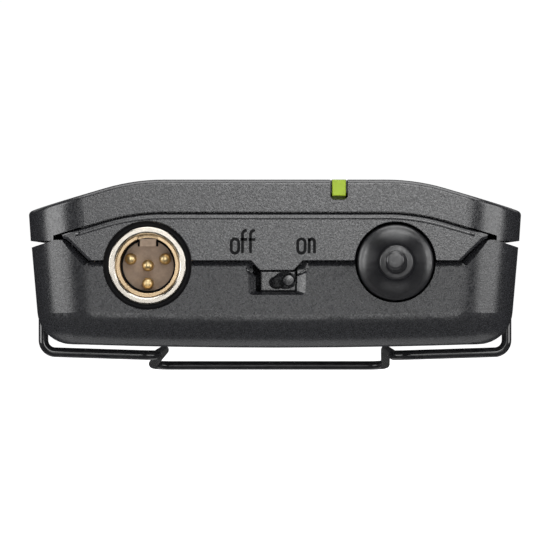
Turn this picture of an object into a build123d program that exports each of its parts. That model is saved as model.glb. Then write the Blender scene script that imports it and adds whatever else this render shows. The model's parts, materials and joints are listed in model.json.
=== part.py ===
"""Wireless bodypack transmitter: housing, hinged battery door, connector, switch, antenna and wire clip.

Millimetres. +X runs across the pack, +Y from the connector end towards the far end, +Z out of the front.
The pack lies on its back on the wire clip, with z = 0 at the clip's crossbar.
Depths ("d") are measured along +Y from the connector end face.
"""
from math import cos, radians, sin, sqrt, tan
import os

from build123d import *

os.makedirs("parts", exist_ok=True)

# ---------------------------------------------------------------- driving dimensions
BODY_LENGTH = 104.0
END_Y = -21.0                      # y of the connector end face
COVER_HALF = 32.4                  # half width of the front cover at its shoulder
COVER_FOOT_HALF = 32.15            # half width at the cover's lower edge
TOP_Z = 26.55                      # highest line of the front cover
COVER_FOOT_Z = 18.6                # lower edge of the cover's side walls
TOP_FLAT_HALF = 14.4               # the top is flat this far from the middle
TOP_ARC_R = 27.5                   # then it rolls over on this radius
TOP_SLOPE = 16.4                   # and runs down at this angle to the shoulder
COVER_CORNER_R = 7.5
COVER_EDGE_R = 0.6
COVER_WALL = 1.6
COVER_BAND = 4.17                  # height of the cover's end wall, following the top line

BACK_Z = 4.6                       # lowest line of the housing's back face
BACK_CROWN = 0.4                   # the back face rises this much towards its sides
BACK_CROWN_HALF = 25.0
TUB_TOP_Z = 18.7                   # top of the rear housing's horns
TUB_RIM_Z = 17.7                   # rim height at the outer face
TUB_TOP_HALF = 32.1
TUB_BACK_HALF = 30.95
TUB_CORNER_R = 7.5
TUB_BACK_R = 4.6
END_DRAFT = 3.0                    # the end wall leans back towards its foot, in degrees
WALL = 1.7
FLOOR_Z = BACK_Z + WALL            # inside floor of the rear housing
HORN_OUT = 28.6
HORN_IN = 27.2
RIM_FLAT_HALF = 24.35              # the end wall's rim is level this far from the middle
RIM_Z = 15.9                       # level part of the end wall's rim
RIM_BEVEL = 0.7                    # bevel along the level part of the rim
RIM_FACE_D = (TUB_TOP_Z - RIM_Z + RIM_BEVEL) * tan(radians(END_DRAFT))   # depth of the wall's face there
HORN_BEVEL = 1.0                   # and along the slopes up to the horns
HORN_BEVEL_DEPTH = 1.2
FAR_RIM_Z = 17.65
TONGUE_IN = 29.2
TONGUE_OUT = 30.4
TONGUE_Z = 20.2
TONGUE_START_D, TONGUE_END_D = 8.5, 95.5
TONGUE_NOTCH_Z = 19.2              # the tongues are lower under the door's latches

SPLIT_D = 30.0                     # front bezel ends and battery door starts
SPLIT_GAP = 0.35

TRIM_BACK_D = 2.2
TRIM_TIP_X = 27.8

CONNECTOR_X, CONNECTOR_Z = -16.6, 15.37
SHELL_R = 5.06
SHELL_BORE_R = 4.06
SHELL_THROAT_R = 3.62
SHELL_BACK_D = 11.0
SURROUND_R = 5.75
INSULATOR_D = 4.8
PIN_R = 0.75
PIN_TIP_D = 1.6
PIN_PLACES = ((0.0, 0.0), (-2.25, 0.85), (2.25, 0.85), (0.0, -2.35))
TAIL_R = 0.4
LEAD_R = 0.45
LEAD_RUNS = ((-1.0, 16.2), (-3.6, 18.0), (3.6, 18.0), (1.0, 14.4))   # foot's x from the axis, reach

ANTENNA_X, ANTENNA_Z = 15.67, 15.78
ANTENNA_R = 5.1
ANTENNA_HOLE_R = 5.25
FLANGE_R = 6.1                     # flange behind the wall that keeps the boot in its hole
ANTENNA_TIP_Y = -83.0
WHIP_ROOT_D = -4.5                 # centre of the whip's root, in front of the end face
WHIP_ROOT_R = 1.9
WHIP_TIP_R = 1.1
WHIP_LEAN_X = -1.65                # the whip's tip leans this far towards the middle
WHIP_LEAN_Z = 0.08
CORE_R = 0.5

SWITCH_X = 0.26
MOUTH_HALF = 3.73                  # switch pocket at the end face
MOUTH_LOW_Z = 11.5
MOUTH_CORNER_R = 0.5
MOUTH_D = 0.3                      # depth of the drafted end wall round the pocket
FLANK_EDGE_HIGH_Z, FLANK_EDGE_LOW_Z = 14.75, 13.8   # top edge of the pocket's flanks, front and back
FLANK_EDGE_WIDTH = 0.35
THROAT_LEFT, THROAT_RIGHT = -2.5, 2.85
THROAT_LOW_Z = 11.95
FLANK_DEPTH = 1.0
DIP_LEFT, DIP_RIGHT = -2.02, 2.50   # the trim panel dips between these over the slider
DIP_Z = 14.78
SLIDER_LEFT, SLIDER_RIGHT = -1.93, 2.75
SLIDER_FACE_D = MOUTH_D + FLANK_DEPTH + 0.05
SLIDER_TRAVEL = 2.0
NUB_DOME_R = 0.82
NUB_STAND = 0.55                   # the nub stands this far out of the slider's face

LED_X = 8.33
NOTCH_WIDTH = 2.3
NOTCH_DEPTH = 2.65
PIPE_WIDTH = 1.78
PIPE_HEIGHT = 2.1
PIPE_END_D = 4.7

PCB_Z = 7.6
PCB_THICK = 1.0
PCB_TOP = PCB_Z + PCB_THICK
DECK_Z = 20.2                      # underside of the control deck
DECK_THICK = 1.0
DECK_TOP = DECK_Z + DECK_THICK
BOARD_Z = 17.2                     # underside of the control board
BOARD_TOP = BOARD_Z + 1.0
GROUP_X, CHANNEL_X, BUTTON_D = -20.0, -12.0, 36.8
DISPLAY_X = 0.0
GAIN_X = 16.0
BUTTON_SIDE = 3.4
BUTTON_TOP = 22.0

BATTERY_R = 7.1
BATTERY_X = 7.6
BATTERY_Z = FLOOR_Z + 0.25 + BATTERY_R
BATTERY_LENGTH = 50.5
NUB = 1.3                          # height of a battery's positive nub
NUB_R = 2.7
BAY_FRONT_D, BAY_BACK_D = 43.2, 99.4
PLATE_HALF = 5.5                   # half width of a contact plate
SPRING_WIRE_R = 0.35
SPRING_TURNS = 3.5
SPRING_BASE_R = 4.4
SPRING_CONE = 15

HINGE_D, HINGE_Z = 102.4, 16.85
HINGE_PIN_R = 0.75
KNUCKLE_R = 1.5
KNUCKLE_X = 20.0
KNUCKLE_WIDTH = 5.0

LATCH_D = 42.6
LATCH_HALF = 4.0
LATCH_BAR_HALF = 1.6
LATCH_OUT = 32.05                  # outer face of the latch tabs, under their grip ribs
LATCH_THICK = 1.55

CLIP_D, CLIP_Z = 13.0, 12.0        # pivot of the wire clip
WIRE_R = 0.65
CLIP_ARM_X = 30.75
CLIP_TONGUE_X = 15.8
CLIP_CROSSBAR_X = 17.4
CLIP_CROSSBAR_D = 88.0
CLIP_LEAN_X = -0.95                # the springy tongue sits this far off centre at its crossbar
BUSH_IN, BUSH_OUT = 26.0, 29.8
BUSH_R = 1.6
CHANNEL_IN = 29.95                 # the clip's arms swing in channels from here outwards

SCREW_PLACES = ((-22.0, 24.0), (22.0, 24.0))
PCB_SCREW_PLACES = ((-21.0, 35.6), (21.0, 35.6))
DECK_POST_PLACES = ((-25.3, 33.4), (25.3, 33.4), (-25.3, 38.3), (25.3, 38.3))


# ---------------------------------------------------------------- helpers
def end_plane(d):
    """Plane facing the connector end at depth d: local x is X, local y is Z."""
    return Plane(origin=(0, END_Y + d, 0), x_dir=(1, 0, 0), z_dir=(0, -1, 0))


def side_plane(x):
    """Plane across the pack at x: local x is Y, local y is Z."""
    return Plane(origin=(x, 0, 0), x_dir=(0, 1, 0), z_dir=(1, 0, 0))


def level(z):
    """Horizontal plane at height z, with its origin at the connector end face."""
    return Plane(origin=(0, END_Y, z), x_dir=(1, 0, 0), z_dir=(0, 0, 1))


def slab(x0, x1, d0, d1, z0, z1, mode=Mode.ADD):
    """Rectangular block between the given limits, in the current part."""
    with BuildSketch(level(z0)) as outline:
        with Locations(((x0 + x1) / 2, (d0 + d1) / 2)):
            Rectangle(x1 - x0, d1 - d0)
    extrude(outline.sketch, amount=z1 - z0, mode=mode)


def rod_along_y(x, z, d0, d1, radius, mode=Mode.ADD):
    """Cylinder parallel to Y from depth d0 to d1."""
    with BuildSketch(end_plane(d0)) as outline:
        with Locations((x, z)):
            Circle(radius)
    extrude(outline.sketch, amount=-(d1 - d0), mode=mode)


def posts(places, z0, z1, radius, mode=Mode.ADD):
    """Vertical cylinders at (x, d) places."""
    with BuildSketch(level(z0)) as outline:
        with Locations(*places):
            Circle(radius)
    extrude(outline.sketch, amount=z1 - z0, mode=mode)


def top_line(x, drop=0.0):
    """Height of the cover's top line at x, lowered by drop."""
    reach = abs(x) - TOP_FLAT_HALF
    arc_reach = TOP_ARC_R * sin(radians(TOP_SLOPE))
    if reach <= 0:
        return TOP_Z - drop
    if reach <= arc_reach:
        return TOP_Z - TOP_ARC_R + sqrt(TOP_ARC_R**2 - reach**2) - drop
    arc_fall = TOP_ARC_R * (1 - cos(radians(TOP_SLOPE)))
    return TOP_Z - arc_fall - (reach - arc_reach) * tan(radians(TOP_SLOPE)) - drop


def top_run(x_end, drop=0.0):
    """Draw the cover's top line from the middle out to x_end, lowered by drop."""
    arc_end = TOP_FLAT_HALF + TOP_ARC_R * sin(radians(TOP_SLOPE))
    arc_mid = TOP_FLAT_HALF + TOP_ARC_R * sin(radians(TOP_SLOPE / 2))
    Line((0, top_line(0, drop)), (TOP_FLAT_HALF, top_line(0, drop)))
    ThreePointArc(
        (TOP_FLAT_HALF, top_line(0, drop)),
        (arc_mid, top_line(arc_mid, drop)),
        (arc_end, top_line(arc_end, drop)),
    )
    Line((arc_end, top_line(arc_end, drop)), (x_end, top_line(x_end, drop)))


def save(builder, name):
    """Label a finished piece and write its STEP file."""
    builder.part.label = name
    export_step(builder.part, f"parts/{name}.step")


# ---------------------------------------------------------------- rear housing
def tub_form(inset, rise):
    """Solid form of the rear housing, drawn in by inset at its walls and back, its top raised by rise."""
    slope = (TUB_TOP_HALF - TUB_BACK_HALF) / (TUB_TOP_Z - BACK_Z - BACK_CROWN)
    top_half = TUB_TOP_HALF + slope * rise - inset
    back_half = TUB_BACK_HALF + slope * inset - inset
    back_z = BACK_Z + inset
    with BuildPart() as form:
        with BuildSketch(end_plane(inset - 1)):
            with BuildLine():
                Polyline(
                    (0, TUB_TOP_Z + rise),
                    (top_half, TUB_TOP_Z + rise),
                    (back_half, back_z + BACK_CROWN),
                    (BACK_CROWN_HALF, back_z + BACK_CROWN),
                )
                ThreePointArc(
                    (BACK_CROWN_HALF, back_z + BACK_CROWN),
                    (BACK_CROWN_HALF / 2, back_z + BACK_CROWN / 4),
                    (0, back_z),
                )
                mirror(about=Plane.YZ)
            make_face()
        extrude(amount=-(BODY_LENGTH - 2 * inset + 1))
        # the end wall leans back towards its foot
        lean = tan(radians(END_DRAFT))
        top_y = END_Y + inset - rise * lean
        with BuildSketch(side_plane(-COVER_HALF - 1)):
            with BuildLine():
                Polyline(
                    (top_y, TUB_TOP_Z + rise),
                    (top_y + (TUB_TOP_Z + rise) * lean, 0),
                    (top_y - 2, 0),
                    (top_y - 2, TUB_TOP_Z + rise),
                    close=True,
                )
            make_face()
        extrude(amount=2 * (COVER_HALF + 1), mode=Mode.SUBTRACT)
        fillet(form.edges().filter_by(lambda e: abs(e.center().X) > 29 and abs(e.tangent_at(0.5).Z) > 0.9),
               TUB_CORNER_R - inset)
        back_edges = form.edges().filter_by(
            lambda e: e.center().Z < back_z + 1
            and (abs(e.center().X) > 26 or abs(e.center().Y - END_Y - BODY_LENGTH / 2) > 47)
        )
        fillet(back_edges, TUB_BACK_R - inset)
    return form.part


def rim_cuts():
    """Lower the shell's top edge to the parting line on every side."""
    rim_slope = (TUB_TOP_Z - TUB_RIM_Z) / (TUB_TOP_HALF - HORN_OUT)
    outside = COVER_HALF + 1
    for side in (-1, 1):
        with BuildSketch(end_plane(-1)) as outline:
            with BuildLine():
                Polyline(
                    (side * HORN_OUT, TUB_TOP_Z),
                    (side * outside, TUB_TOP_Z - rim_slope * (outside - HORN_OUT)),
                    (side * outside, TUB_TOP_Z + 1),
                    (side * HORN_OUT, TUB_TOP_Z + 1),
                    close=True,
                )
            make_face()
        extrude(outline.sketch, amount=-(BODY_LENGTH + 2), mode=Mode.SUBTRACT)
    with BuildSketch(end_plane(-1)) as outline:
        with BuildLine():
            Polyline(
                (-HORN_IN, TUB_TOP_Z),
                (-RIM_FLAT_HALF, RIM_Z),
                (RIM_FLAT_HALF, RIM_Z),
                (HORN_IN, TUB_TOP_Z),
                (HORN_IN, TUB_TOP_Z + 1),
                (-HORN_IN, TUB_TOP_Z + 1),
                close=True,
            )
        make_face()
    extrude(outline.sketch, amount=-7, mode=Mode.SUBTRACT)
    slab(-33, 33, BODY_LENGTH - 4, BODY_LENGTH + 1, FAR_RIM_Z, TUB_TOP_Z + 1, mode=Mode.SUBTRACT)
    with BuildSketch(side_plane(-33)) as outline:
        with BuildLine():
            far = END_Y + BODY_LENGTH
            Polyline(
                (far - RIM_BEVEL, FAR_RIM_Z),
                (far + 0.1, FAR_RIM_Z - RIM_BEVEL - 0.1),
                (far + 0.1, FAR_RIM_Z + 0.1),
                (far - RIM_BEVEL, FAR_RIM_Z + 0.1),
                close=True,
            )
        make_face()
    extrude(outline.sketch, amount=66, mode=Mode.SUBTRACT)


def rim_bevel():
    """Bevel along the visible edge of the end wall's rim, wider where it climbs to the horns."""
    with BuildSketch(side_plane(-RIM_FLAT_HALF)) as outline:
        with BuildLine():
            Polyline(
                (END_Y + RIM_FACE_D - 1, RIM_Z - RIM_BEVEL - 1),
                (END_Y + RIM_FACE_D + RIM_BEVEL, RIM_Z),
                (END_Y + RIM_FACE_D + RIM_BEVEL, RIM_Z + 0.1),
                (END_Y + RIM_FACE_D - 1, RIM_Z + 0.1),
                close=True,
            )
        make_face()
    extrude(outline.sketch, amount=2 * RIM_FLAT_HALF, mode=Mode.SUBTRACT)
    slope = (TUB_TOP_Z - RIM_Z) / (HORN_IN - RIM_FLAT_HALF)
    shift = HORN_BEVEL * sqrt(1 + 1 / slope**2)
    above = 0.6
    for side in (-1, 1):
        with BuildSketch(end_plane(-0.01)) as front:
            with BuildLine():
                Polyline(
                    (side * (RIM_FLAT_HALF + shift - RIM_BEVEL / slope), RIM_Z - RIM_BEVEL),
                    (side * (HORN_IN + shift + above / slope), TUB_TOP_Z + above),
                    (side * (HORN_IN - 1), TUB_TOP_Z + above),
                    (side * (RIM_FLAT_HALF - 0.3), RIM_Z),
                    close=True,
                )
            make_face()
        with BuildSketch(end_plane(HORN_BEVEL_DEPTH)) as back:
            with BuildLine():
                Polyline(
                    (side * RIM_FLAT_HALF, RIM_Z),
                    (side * (HORN_IN + above / slope), TUB_TOP_Z + above),
                    (side * (HORN_IN - 1), TUB_TOP_Z + above),
                    (side * (RIM_FLAT_HALF - 0.3), RIM_Z),
                    close=True,
                )
            make_face()
        loft([front.sketch, back.sketch], mode=Mode.SUBTRACT)


def flank_edge(outer_x, inner_x):
    """Sloping edge on top of one of the pocket's flanks, running down and inwards from the end face."""
    sections = []
    for x, depth, low in ((outer_x, 0.0, FLANK_EDGE_HIGH_Z), (inner_x, FLANK_DEPTH, FLANK_EDGE_LOW_Z)):
        start = END_Y + MOUTH_D + depth
        with BuildSketch(side_plane(x)) as section:
            with BuildLine():
                Polyline(
                    (start - FLANK_EDGE_WIDTH - 0.05, low - FLANK_EDGE_WIDTH - 0.05),
                    (start + FLANK_EDGE_WIDTH, low + FLANK_EDGE_WIDTH),
                    (start + FLANK_EDGE_WIDTH, RIM_Z + 0.2),
                    (start - FLANK_EDGE_WIDTH - 0.05, RIM_Z + 0.2),
                    close=True,
                )
            make_face()
        sections.append(section.sketch)
    loft(sections, mode=Mode.SUBTRACT)


def switch_pocket():
    """Tapered mouth in the end wall and the clearance behind it for the slider."""
    with BuildSketch(end_plane(MOUTH_D)) as mouth:
        with BuildLine():
            Polyline(
                (SWITCH_X - MOUTH_HALF, RIM_Z + 0.1),
                (SWITCH_X - MOUTH_HALF, MOUTH_LOW_Z),
                (SWITCH_X + MOUTH_HALF, MOUTH_LOW_Z),
                (SWITCH_X + MOUTH_HALF, RIM_Z + 0.1),
                close=True,
            )
        make_face()
        fillet(mouth.vertices().group_by(Axis.Z)[0], MOUTH_CORNER_R)
    extrude(mouth.sketch, amount=1, mode=Mode.SUBTRACT)
    with BuildSketch(end_plane(MOUTH_D + FLANK_DEPTH)) as throat:
        with BuildLine():
            Polyline(
                (THROAT_LEFT, RIM_Z + 0.1),
                (THROAT_LEFT, THROAT_LOW_Z),
                (THROAT_RIGHT, THROAT_LOW_Z),
                (THROAT_RIGHT, RIM_Z + 0.1),
                close=True,
            )
        make_face()
        fillet(throat.vertices().group_by(Axis.Z)[0], MOUTH_CORNER_R / 2)
    loft([mouth.sketch, throat.sketch], mode=Mode.SUBTRACT)
    flank_edge(SWITCH_X - MOUTH_HALF - 0.3, THROAT_LEFT + 0.1)
    flank_edge(SWITCH_X + MOUTH_HALF + 0.3, THROAT_RIGHT - 0.1)
    with BuildSketch(end_plane(-1)) as outline:
        with BuildLine():
            Polyline(
                (DIP_LEFT - 1.32, RIM_Z + 0.1),
                (DIP_LEFT - 0.1, DIP_Z - 0.1),
                (DIP_RIGHT + 0.1, DIP_Z - 0.1),
                (DIP_RIGHT + 1.32, RIM_Z + 0.1),
                close=True,
            )
        make_face()
    extrude(outline.sketch, amount=-(WALL + 2), mode=Mode.SUBTRACT)
    slab(
        SLIDER_LEFT - SLIDER_TRAVEL - 0.3, SLIDER_RIGHT + 0.2,
        MOUTH_D + FLANK_DEPTH, WALL + 0.7, THROAT_LOW_Z - 0.1, RIM_Z + 0.1, mode=Mode.SUBTRACT,
    )


def clip_pivots():
    """Bosses inside the side walls that hold the wire clip's bushes."""
    for side in (-1, 1):
        low, high = sorted((side * BUSH_IN, side * (CHANNEL_IN + 0.25)))
        slab(low, high, CLIP_D - 3.0, CLIP_D + 3.0, CLIP_Z - 4.0, CLIP_Z + 3.0)


def clip_channels():
    """Open channels in the side walls in which the clip's arms swing."""
    for side in (-1, 1):
        low, high = sorted((side * CHANNEL_IN, side * (COVER_HALF + 1)))
        slab(low, high, CLIP_D - 2.8, CLIP_D + 1.4, 0, CLIP_Z, mode=Mode.SUBTRACT)
        with BuildSketch(side_plane(low)) as outline:
            with Locations((END_Y + CLIP_D - 0.7, CLIP_Z)):
                Circle(2.1)
        extrude(outline.sketch, amount=high - low, mode=Mode.SUBTRACT)
        low, high = sorted((side * (BUSH_IN - 0.1), side * (CHANNEL_IN + 0.1)))
        with BuildSketch(side_plane(low)) as outline:
            with Locations((END_Y + CLIP_D, CLIP_Z)):
                Circle(BUSH_R)
        extrude(outline.sketch, amount=high - low, mode=Mode.SUBTRACT)


def hinge_rail():
    """Rail along the far wall that carries the door's hinge pin, with slots for the knuckles."""
    slab(-25.5, 25.5, HINGE_D - 1.6, BODY_LENGTH - WALL + 0.1, HINGE_Z - 2.3, FAR_RIM_Z)


def hinge_cuts():
    """Knuckle slots and the bore for the pin."""
    for side in (-1, 1):
        middle = side * KNUCKLE_X
        half = KNUCKLE_WIDTH / 2 + 0.25
        slab(
            middle - half, middle + half, HINGE_D - 2.0, BODY_LENGTH + 1,
            HINGE_Z - 1.95, TUB_TOP_Z, mode=Mode.SUBTRACT,
        )
    with BuildSketch(side_plane(-24.8)) as outline:
        with Locations((END_Y + HINGE_D, HINGE_Z)):
            Circle(HINGE_PIN_R)
    extrude(outline.sketch, amount=49.6, mode=Mode.SUBTRACT)


housing_form = tub_form(0, 0)
housing_core = tub_form(WALL, 1.0)
with BuildPart() as rear_housing:
    add(housing_form)
    add(housing_core, mode=Mode.SUBTRACT)
    rim_cuts()
    rim_bevel()
    # tongues that stand inside the cover's side walls, with a notch under each latch
    for side in (-1, 1):
        low, high = sorted((side * TONGUE_IN, side * TONGUE_OUT))
        slab(low, high, TONGUE_START_D, TONGUE_END_D, 14.5, TONGUE_Z)
        low, high = sorted((side * (TONGUE_IN - 0.1), side * (TONGUE_OUT + 0.1)))
        notch = LATCH_HALF + 0.5
        slab(low, high, LATCH_D - notch, LATCH_D + notch, TONGUE_NOTCH_Z, TONGUE_Z + 0.1, mode=Mode.SUBTRACT)
    clip_pivots()
    clip_channels()
    hinge_rail()
    hinge_cuts()
    # posts for the main board, the control deck and the case screws
    posts(PCB_SCREW_PLACES, FLOOR_Z - 0.5, PCB_Z, 2.2)
    posts(DECK_POST_PLACES, FLOOR_Z - 0.5, DECK_Z, 1.9)
    posts(SCREW_PLACES, FLOOR_Z - 0.5, 16.9, 2.6)
    for x in (-16.0, 16.0):
        slab(x - 2, x + 2, 5.4, 7.4, FLOOR_Z - 0.5, PCB_Z)
    # battery bay: end rib, cradle ribs and floor stiffeners
    slab(-17.5, 17.5, BAY_BACK_D + 0.3, BAY_BACK_D + 1.4, FLOOR_Z - 0.5, 17.6)
    for side in (-1, 1):
        low, high = sorted((side * 15.1, side * 16.3))
        slab(low, high, 50, 94, FLOOR_Z - 0.5, 12.5)
        low, high = sorted((side * 16.2, side * 28.6))
        for d in (56, 72, 88):
            slab(low, high, d - 0.6, d + 0.6, FLOOR_Z - 0.3, 9.5)
    # openings in the end wall
    rod_along_y(CONNECTOR_X, CONNECTOR_Z, -1, WALL + 0.5, SURROUND_R + 0.02, mode=Mode.SUBTRACT)
    rod_along_y(ANTENNA_X, ANTENNA_Z, -1, WALL + 0.55, ANTENNA_HOLE_R, mode=Mode.SUBTRACT)
    # flat seats inside the wall for the connector's nut and the antenna's flange
    rod_along_y(CONNECTOR_X, CONNECTOR_Z, TRIM_BACK_D, TRIM_BACK_D + 1.5, 7.6, mode=Mode.SUBTRACT)
    rod_along_y(ANTENNA_X, ANTENNA_Z, WALL + 0.5, WALL + 1.6, FLANGE_R + 0.15, mode=Mode.SUBTRACT)
    switch_pocket()
    # case screws enter from the back, board and deck screws from the front
    posts(SCREW_PLACES, BACK_Z - 1, 17.0, 1.05, mode=Mode.SUBTRACT)
    posts(SCREW_PLACES, BACK_Z - 1, BACK_Z + 1.7, 2.05, mode=Mode.SUBTRACT)
    posts(PCB_SCREW_PLACES, FLOOR_Z + 0.2, PCB_Z + 0.1, 0.82, mode=Mode.SUBTRACT)
    posts(DECK_POST_PLACES, DECK_Z - 5, DECK_Z + 0.1, 0.82, mode=Mode.SUBTRACT)
save(rear_housing, "rear_housing")


# ---------------------------------------------------------------- front cover, in two pieces
def cover_block():
    """Outer block of the whole front cover."""
    with BuildSketch(end_plane(0)) as outline:
        with BuildLine():
            top_run(COVER_HALF)
            Line((COVER_HALF, top_line(COVER_HALF)), (COVER_FOOT_HALF, COVER_FOOT_Z))
            Line((COVER_FOOT_HALF, COVER_FOOT_Z), (0, COVER_FOOT_Z))
            mirror(about=Plane.YZ)
        make_face()
    extrude(outline.sketch, amount=-BODY_LENGTH)


with BuildPart() as cover_blank:
    cover_block()
    cover_corners = cover_blank.edges().filter_by(
        lambda e: abs(e.center().X) > 31.5 and abs(e.center().Y - END_Y - BODY_LENGTH / 2) > 51
    )
    fillet(cover_corners, COVER_CORNER_R)
    shoulder = cover_blank.edges().filter_by(
        lambda e: e.center().Z > 22 and (abs(e.center().X) > 28 or abs(e.center().Y - 31) > 51.5)
    )
    fillet(shoulder, COVER_EDGE_R)
    offset(amount=-COVER_WALL, openings=cover_blank.faces().sort_by(Axis.Z)[0])


def band_cut():
    """Remove the lower part of the cover's end wall, leaving a band that follows the top line."""
    edge = 28.9
    with BuildSketch(end_plane(-1)) as outline:
        with BuildLine():
            top_run(edge, COVER_BAND)
            Polyline((edge, top_line(edge, COVER_BAND)), (edge, COVER_FOOT_Z - 1), (0, COVER_FOOT_Z - 1))
            mirror(about=Plane.YZ)
        make_face()
    extrude(outline.sketch, amount=-5, mode=Mode.SUBTRACT)


def led_notch():
    """Notch in the end wall and roof that shows the light pipe, with small lower chamfers."""
    half = NOTCH_WIDTH / 2
    corner = 0.4
    low = TOP_Z - NOTCH_DEPTH
    with BuildSketch(end_plane(-1)) as outline:
        with BuildLine():
            Polyline(
                (LED_X - half, TOP_Z + 1),
                (LED_X - half, low + corner),
                (LED_X - half + corner, low),
                (LED_X + half - corner, low),
                (LED_X + half, low + corner),
                (LED_X + half, TOP_Z + 1),
                close=True,
            )
        make_face()
    extrude(outline.sketch, amount=-(PIPE_END_D + 1.2), mode=Mode.SUBTRACT)


with BuildPart() as front_bezel:
    add(cover_blank.part)
    slab(-33, 33, SPLIT_D, BODY_LENGTH + 1, 10, 30, mode=Mode.SUBTRACT)
    band_cut()
    # partition towards the battery bay, following the roof
    with BuildSketch(end_plane(SPLIT_D - 1.8)):
        with BuildLine():
            top_run(30.2, COVER_WALL - 0.1)
            Polyline((30.2, top_line(30.2, COVER_WALL - 0.1)), (30.2, 20.5), (28.3, 20.5), (28.3, 18.0), (0, 18.0))
            mirror(about=Plane.YZ)
        make_face()
    extrude(amount=-1.2)
    # screw bosses under the roof, each ending on a housing post
    with BuildSketch(level(16.95)):
        with Locations(*SCREW_PLACES):
            Circle(2.6)
    extrude(until=Until.NEXT)
    led_notch()
    posts(SCREW_PLACES, 16.0, 21.5, 0.9, mode=Mode.SUBTRACT)
save(front_bezel, "front_bezel")


def door_knuckles():
    """Hinge arms under the door's far edge, each ending in a knuckle round the pin."""
    for side in (-1, 1):
        start = side * KNUCKLE_X - KNUCKLE_WIDTH / 2
        with BuildSketch(side_plane(start)) as outline:
            with Locations((END_Y + HINGE_D, HINGE_Z)):
                Circle(KNUCKLE_R)
            with BuildLine():
                Polyline(
                    (END_Y + HINGE_D - KNUCKLE_R, HINGE_Z),
                    (END_Y + HINGE_D + 0.4, HINGE_Z),
                    (END_Y + HINGE_D + 0.4, 23.0),
                    (END_Y + HINGE_D - KNUCKLE_R, 23.0),
                    close=True,
                )
            make_face()
        extrude(outline.sketch, amount=KNUCKLE_WIDTH)
    with BuildSketch(side_plane(-30)) as outline:
        with Locations((END_Y + HINGE_D, HINGE_Z)):
            Circle(HINGE_PIN_R + 0.05)
    extrude(outline.sketch, amount=60, mode=Mode.SUBTRACT)


with BuildPart() as battery_door:
    add(cover_blank.part)
    slab(-33, 33, -1, SPLIT_D + SPLIT_GAP, 10, 30, mode=Mode.SUBTRACT)
    door_knuckles()
    # stiffening ribs under the roof
    for d in (50, 86, 94):
        with BuildSketch(end_plane(d)):
            with BuildLine():
                top_run(26, COVER_WALL - 0.1)
                Line((26, top_line(26, COVER_WALL - 0.1)), (26, top_line(26, 3.2)))
                top_run(26, 3.2)
                mirror(about=Plane.YZ)
            make_face()
        extrude(amount=-1.2)
    # windows and guides for the two latch tabs
    for side in (-1, 1):
        low, high = sorted((side * 29.2, side * 33))
        slab(low, high, LATCH_D - LATCH_HALF - 0.1, LATCH_D + LATCH_HALF + 0.1, 19.5, 21.7, mode=Mode.SUBTRACT)
save(battery_door, "battery_door")


# ---------------------------------------------------------------- end trim panel
with BuildPart() as end_trim_panel:
    with BuildSketch(end_plane(0.12)):
        with BuildLine():
            top_run(TRIM_TIP_X, COVER_BAND + 0.2)
            Polyline(
                (TRIM_TIP_X, top_line(TRIM_TIP_X, COVER_BAND + 0.2)),
                (TRIM_TIP_X - 0.25, TUB_TOP_Z + 0.15),
                (HORN_IN - 0.15, TUB_TOP_Z + 0.05),
                (RIM_FLAT_HALF - 0.1, RIM_Z + 0.1),
                (0, RIM_Z + 0.1),
            )
            mirror(about=Plane.YZ)
        make_face()
        with BuildLine():
            Polyline(
                (DIP_LEFT - 1.22, RIM_Z + 0.2), (DIP_LEFT, DIP_Z),
                (DIP_RIGHT, DIP_Z), (DIP_RIGHT + 1.22, RIM_Z + 0.2), close=True,
            )
        make_face()
    extrude(amount=-(TRIM_BACK_D - 0.12))
    trim_front = end_trim_panel.faces().sort_by(Axis.Y)[0]
    chamfer(trim_front.outer_wire().edges().filter_by(lambda e: e.center().Z > 17), 0.25)
    # ledge that tucks behind the cover's band
    with BuildSketch(end_plane(COVER_WALL + 0.05)):
        with BuildLine():
            top_run(25.6, COVER_BAND - 0.9)
            Polyline((25.6, top_line(25.6, COVER_BAND - 0.9)), (25.6, 20.2), (0, 20.2))
            mirror(about=Plane.YZ)
        make_face()
    extrude(amount=-(TRIM_BACK_D - COVER_WALL - 0.05))
    # lip behind the housing's rim, which closes the parting line
    slab(-23.5, 23.5, WALL + 0.25, TRIM_BACK_D, RIM_Z - 0.5, RIM_Z + 0.3)
    rod_along_y(CONNECTOR_X, CONNECTOR_Z, -1, 4, SURROUND_R + 0.02, mode=Mode.SUBTRACT)
    rod_along_y(ANTENNA_X, ANTENNA_Z, -1, 4, ANTENNA_HOLE_R, mode=Mode.SUBTRACT)
save(end_trim_panel, "end_trim_panel")


# ---------------------------------------------------------------- microphone connector
def ring_profile(points):
    """Revolve a closed (radius, depth) outline about the connector's axis."""
    with BuildSketch(Plane(origin=(CONNECTOR_X, END_Y, CONNECTOR_Z), x_dir=(1, 0, 0), z_dir=(0, 0, 1))) as outline:
        with BuildLine():
            Polyline(*points, close=True)
        make_face()
    revolve(outline.sketch, axis=Axis((CONNECTOR_X, END_Y, CONNECTOR_Z), (0, 1, 0)))


with BuildPart() as connector_shell:
    ring_profile((
        (SHELL_BORE_R + 0.32, -0.25), (SHELL_R - 0.15, -0.25), (SHELL_R, -0.1), (SHELL_R, SHELL_BACK_D),
        (SHELL_THROAT_R, SHELL_BACK_D), (SHELL_THROAT_R, 0.75), (SHELL_BORE_R, 0.75), (SHELL_BORE_R, 0.1),
    ))
    slab(
        CONNECTOR_X - 1.35, CONNECTOR_X + 1.35, 0.7, INSULATOR_D,
        CONNECTOR_Z + 3.2, CONNECTOR_Z + SHELL_BORE_R + 0.15, mode=Mode.SUBTRACT,
    )
save(connector_shell, "connector_shell")

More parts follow.
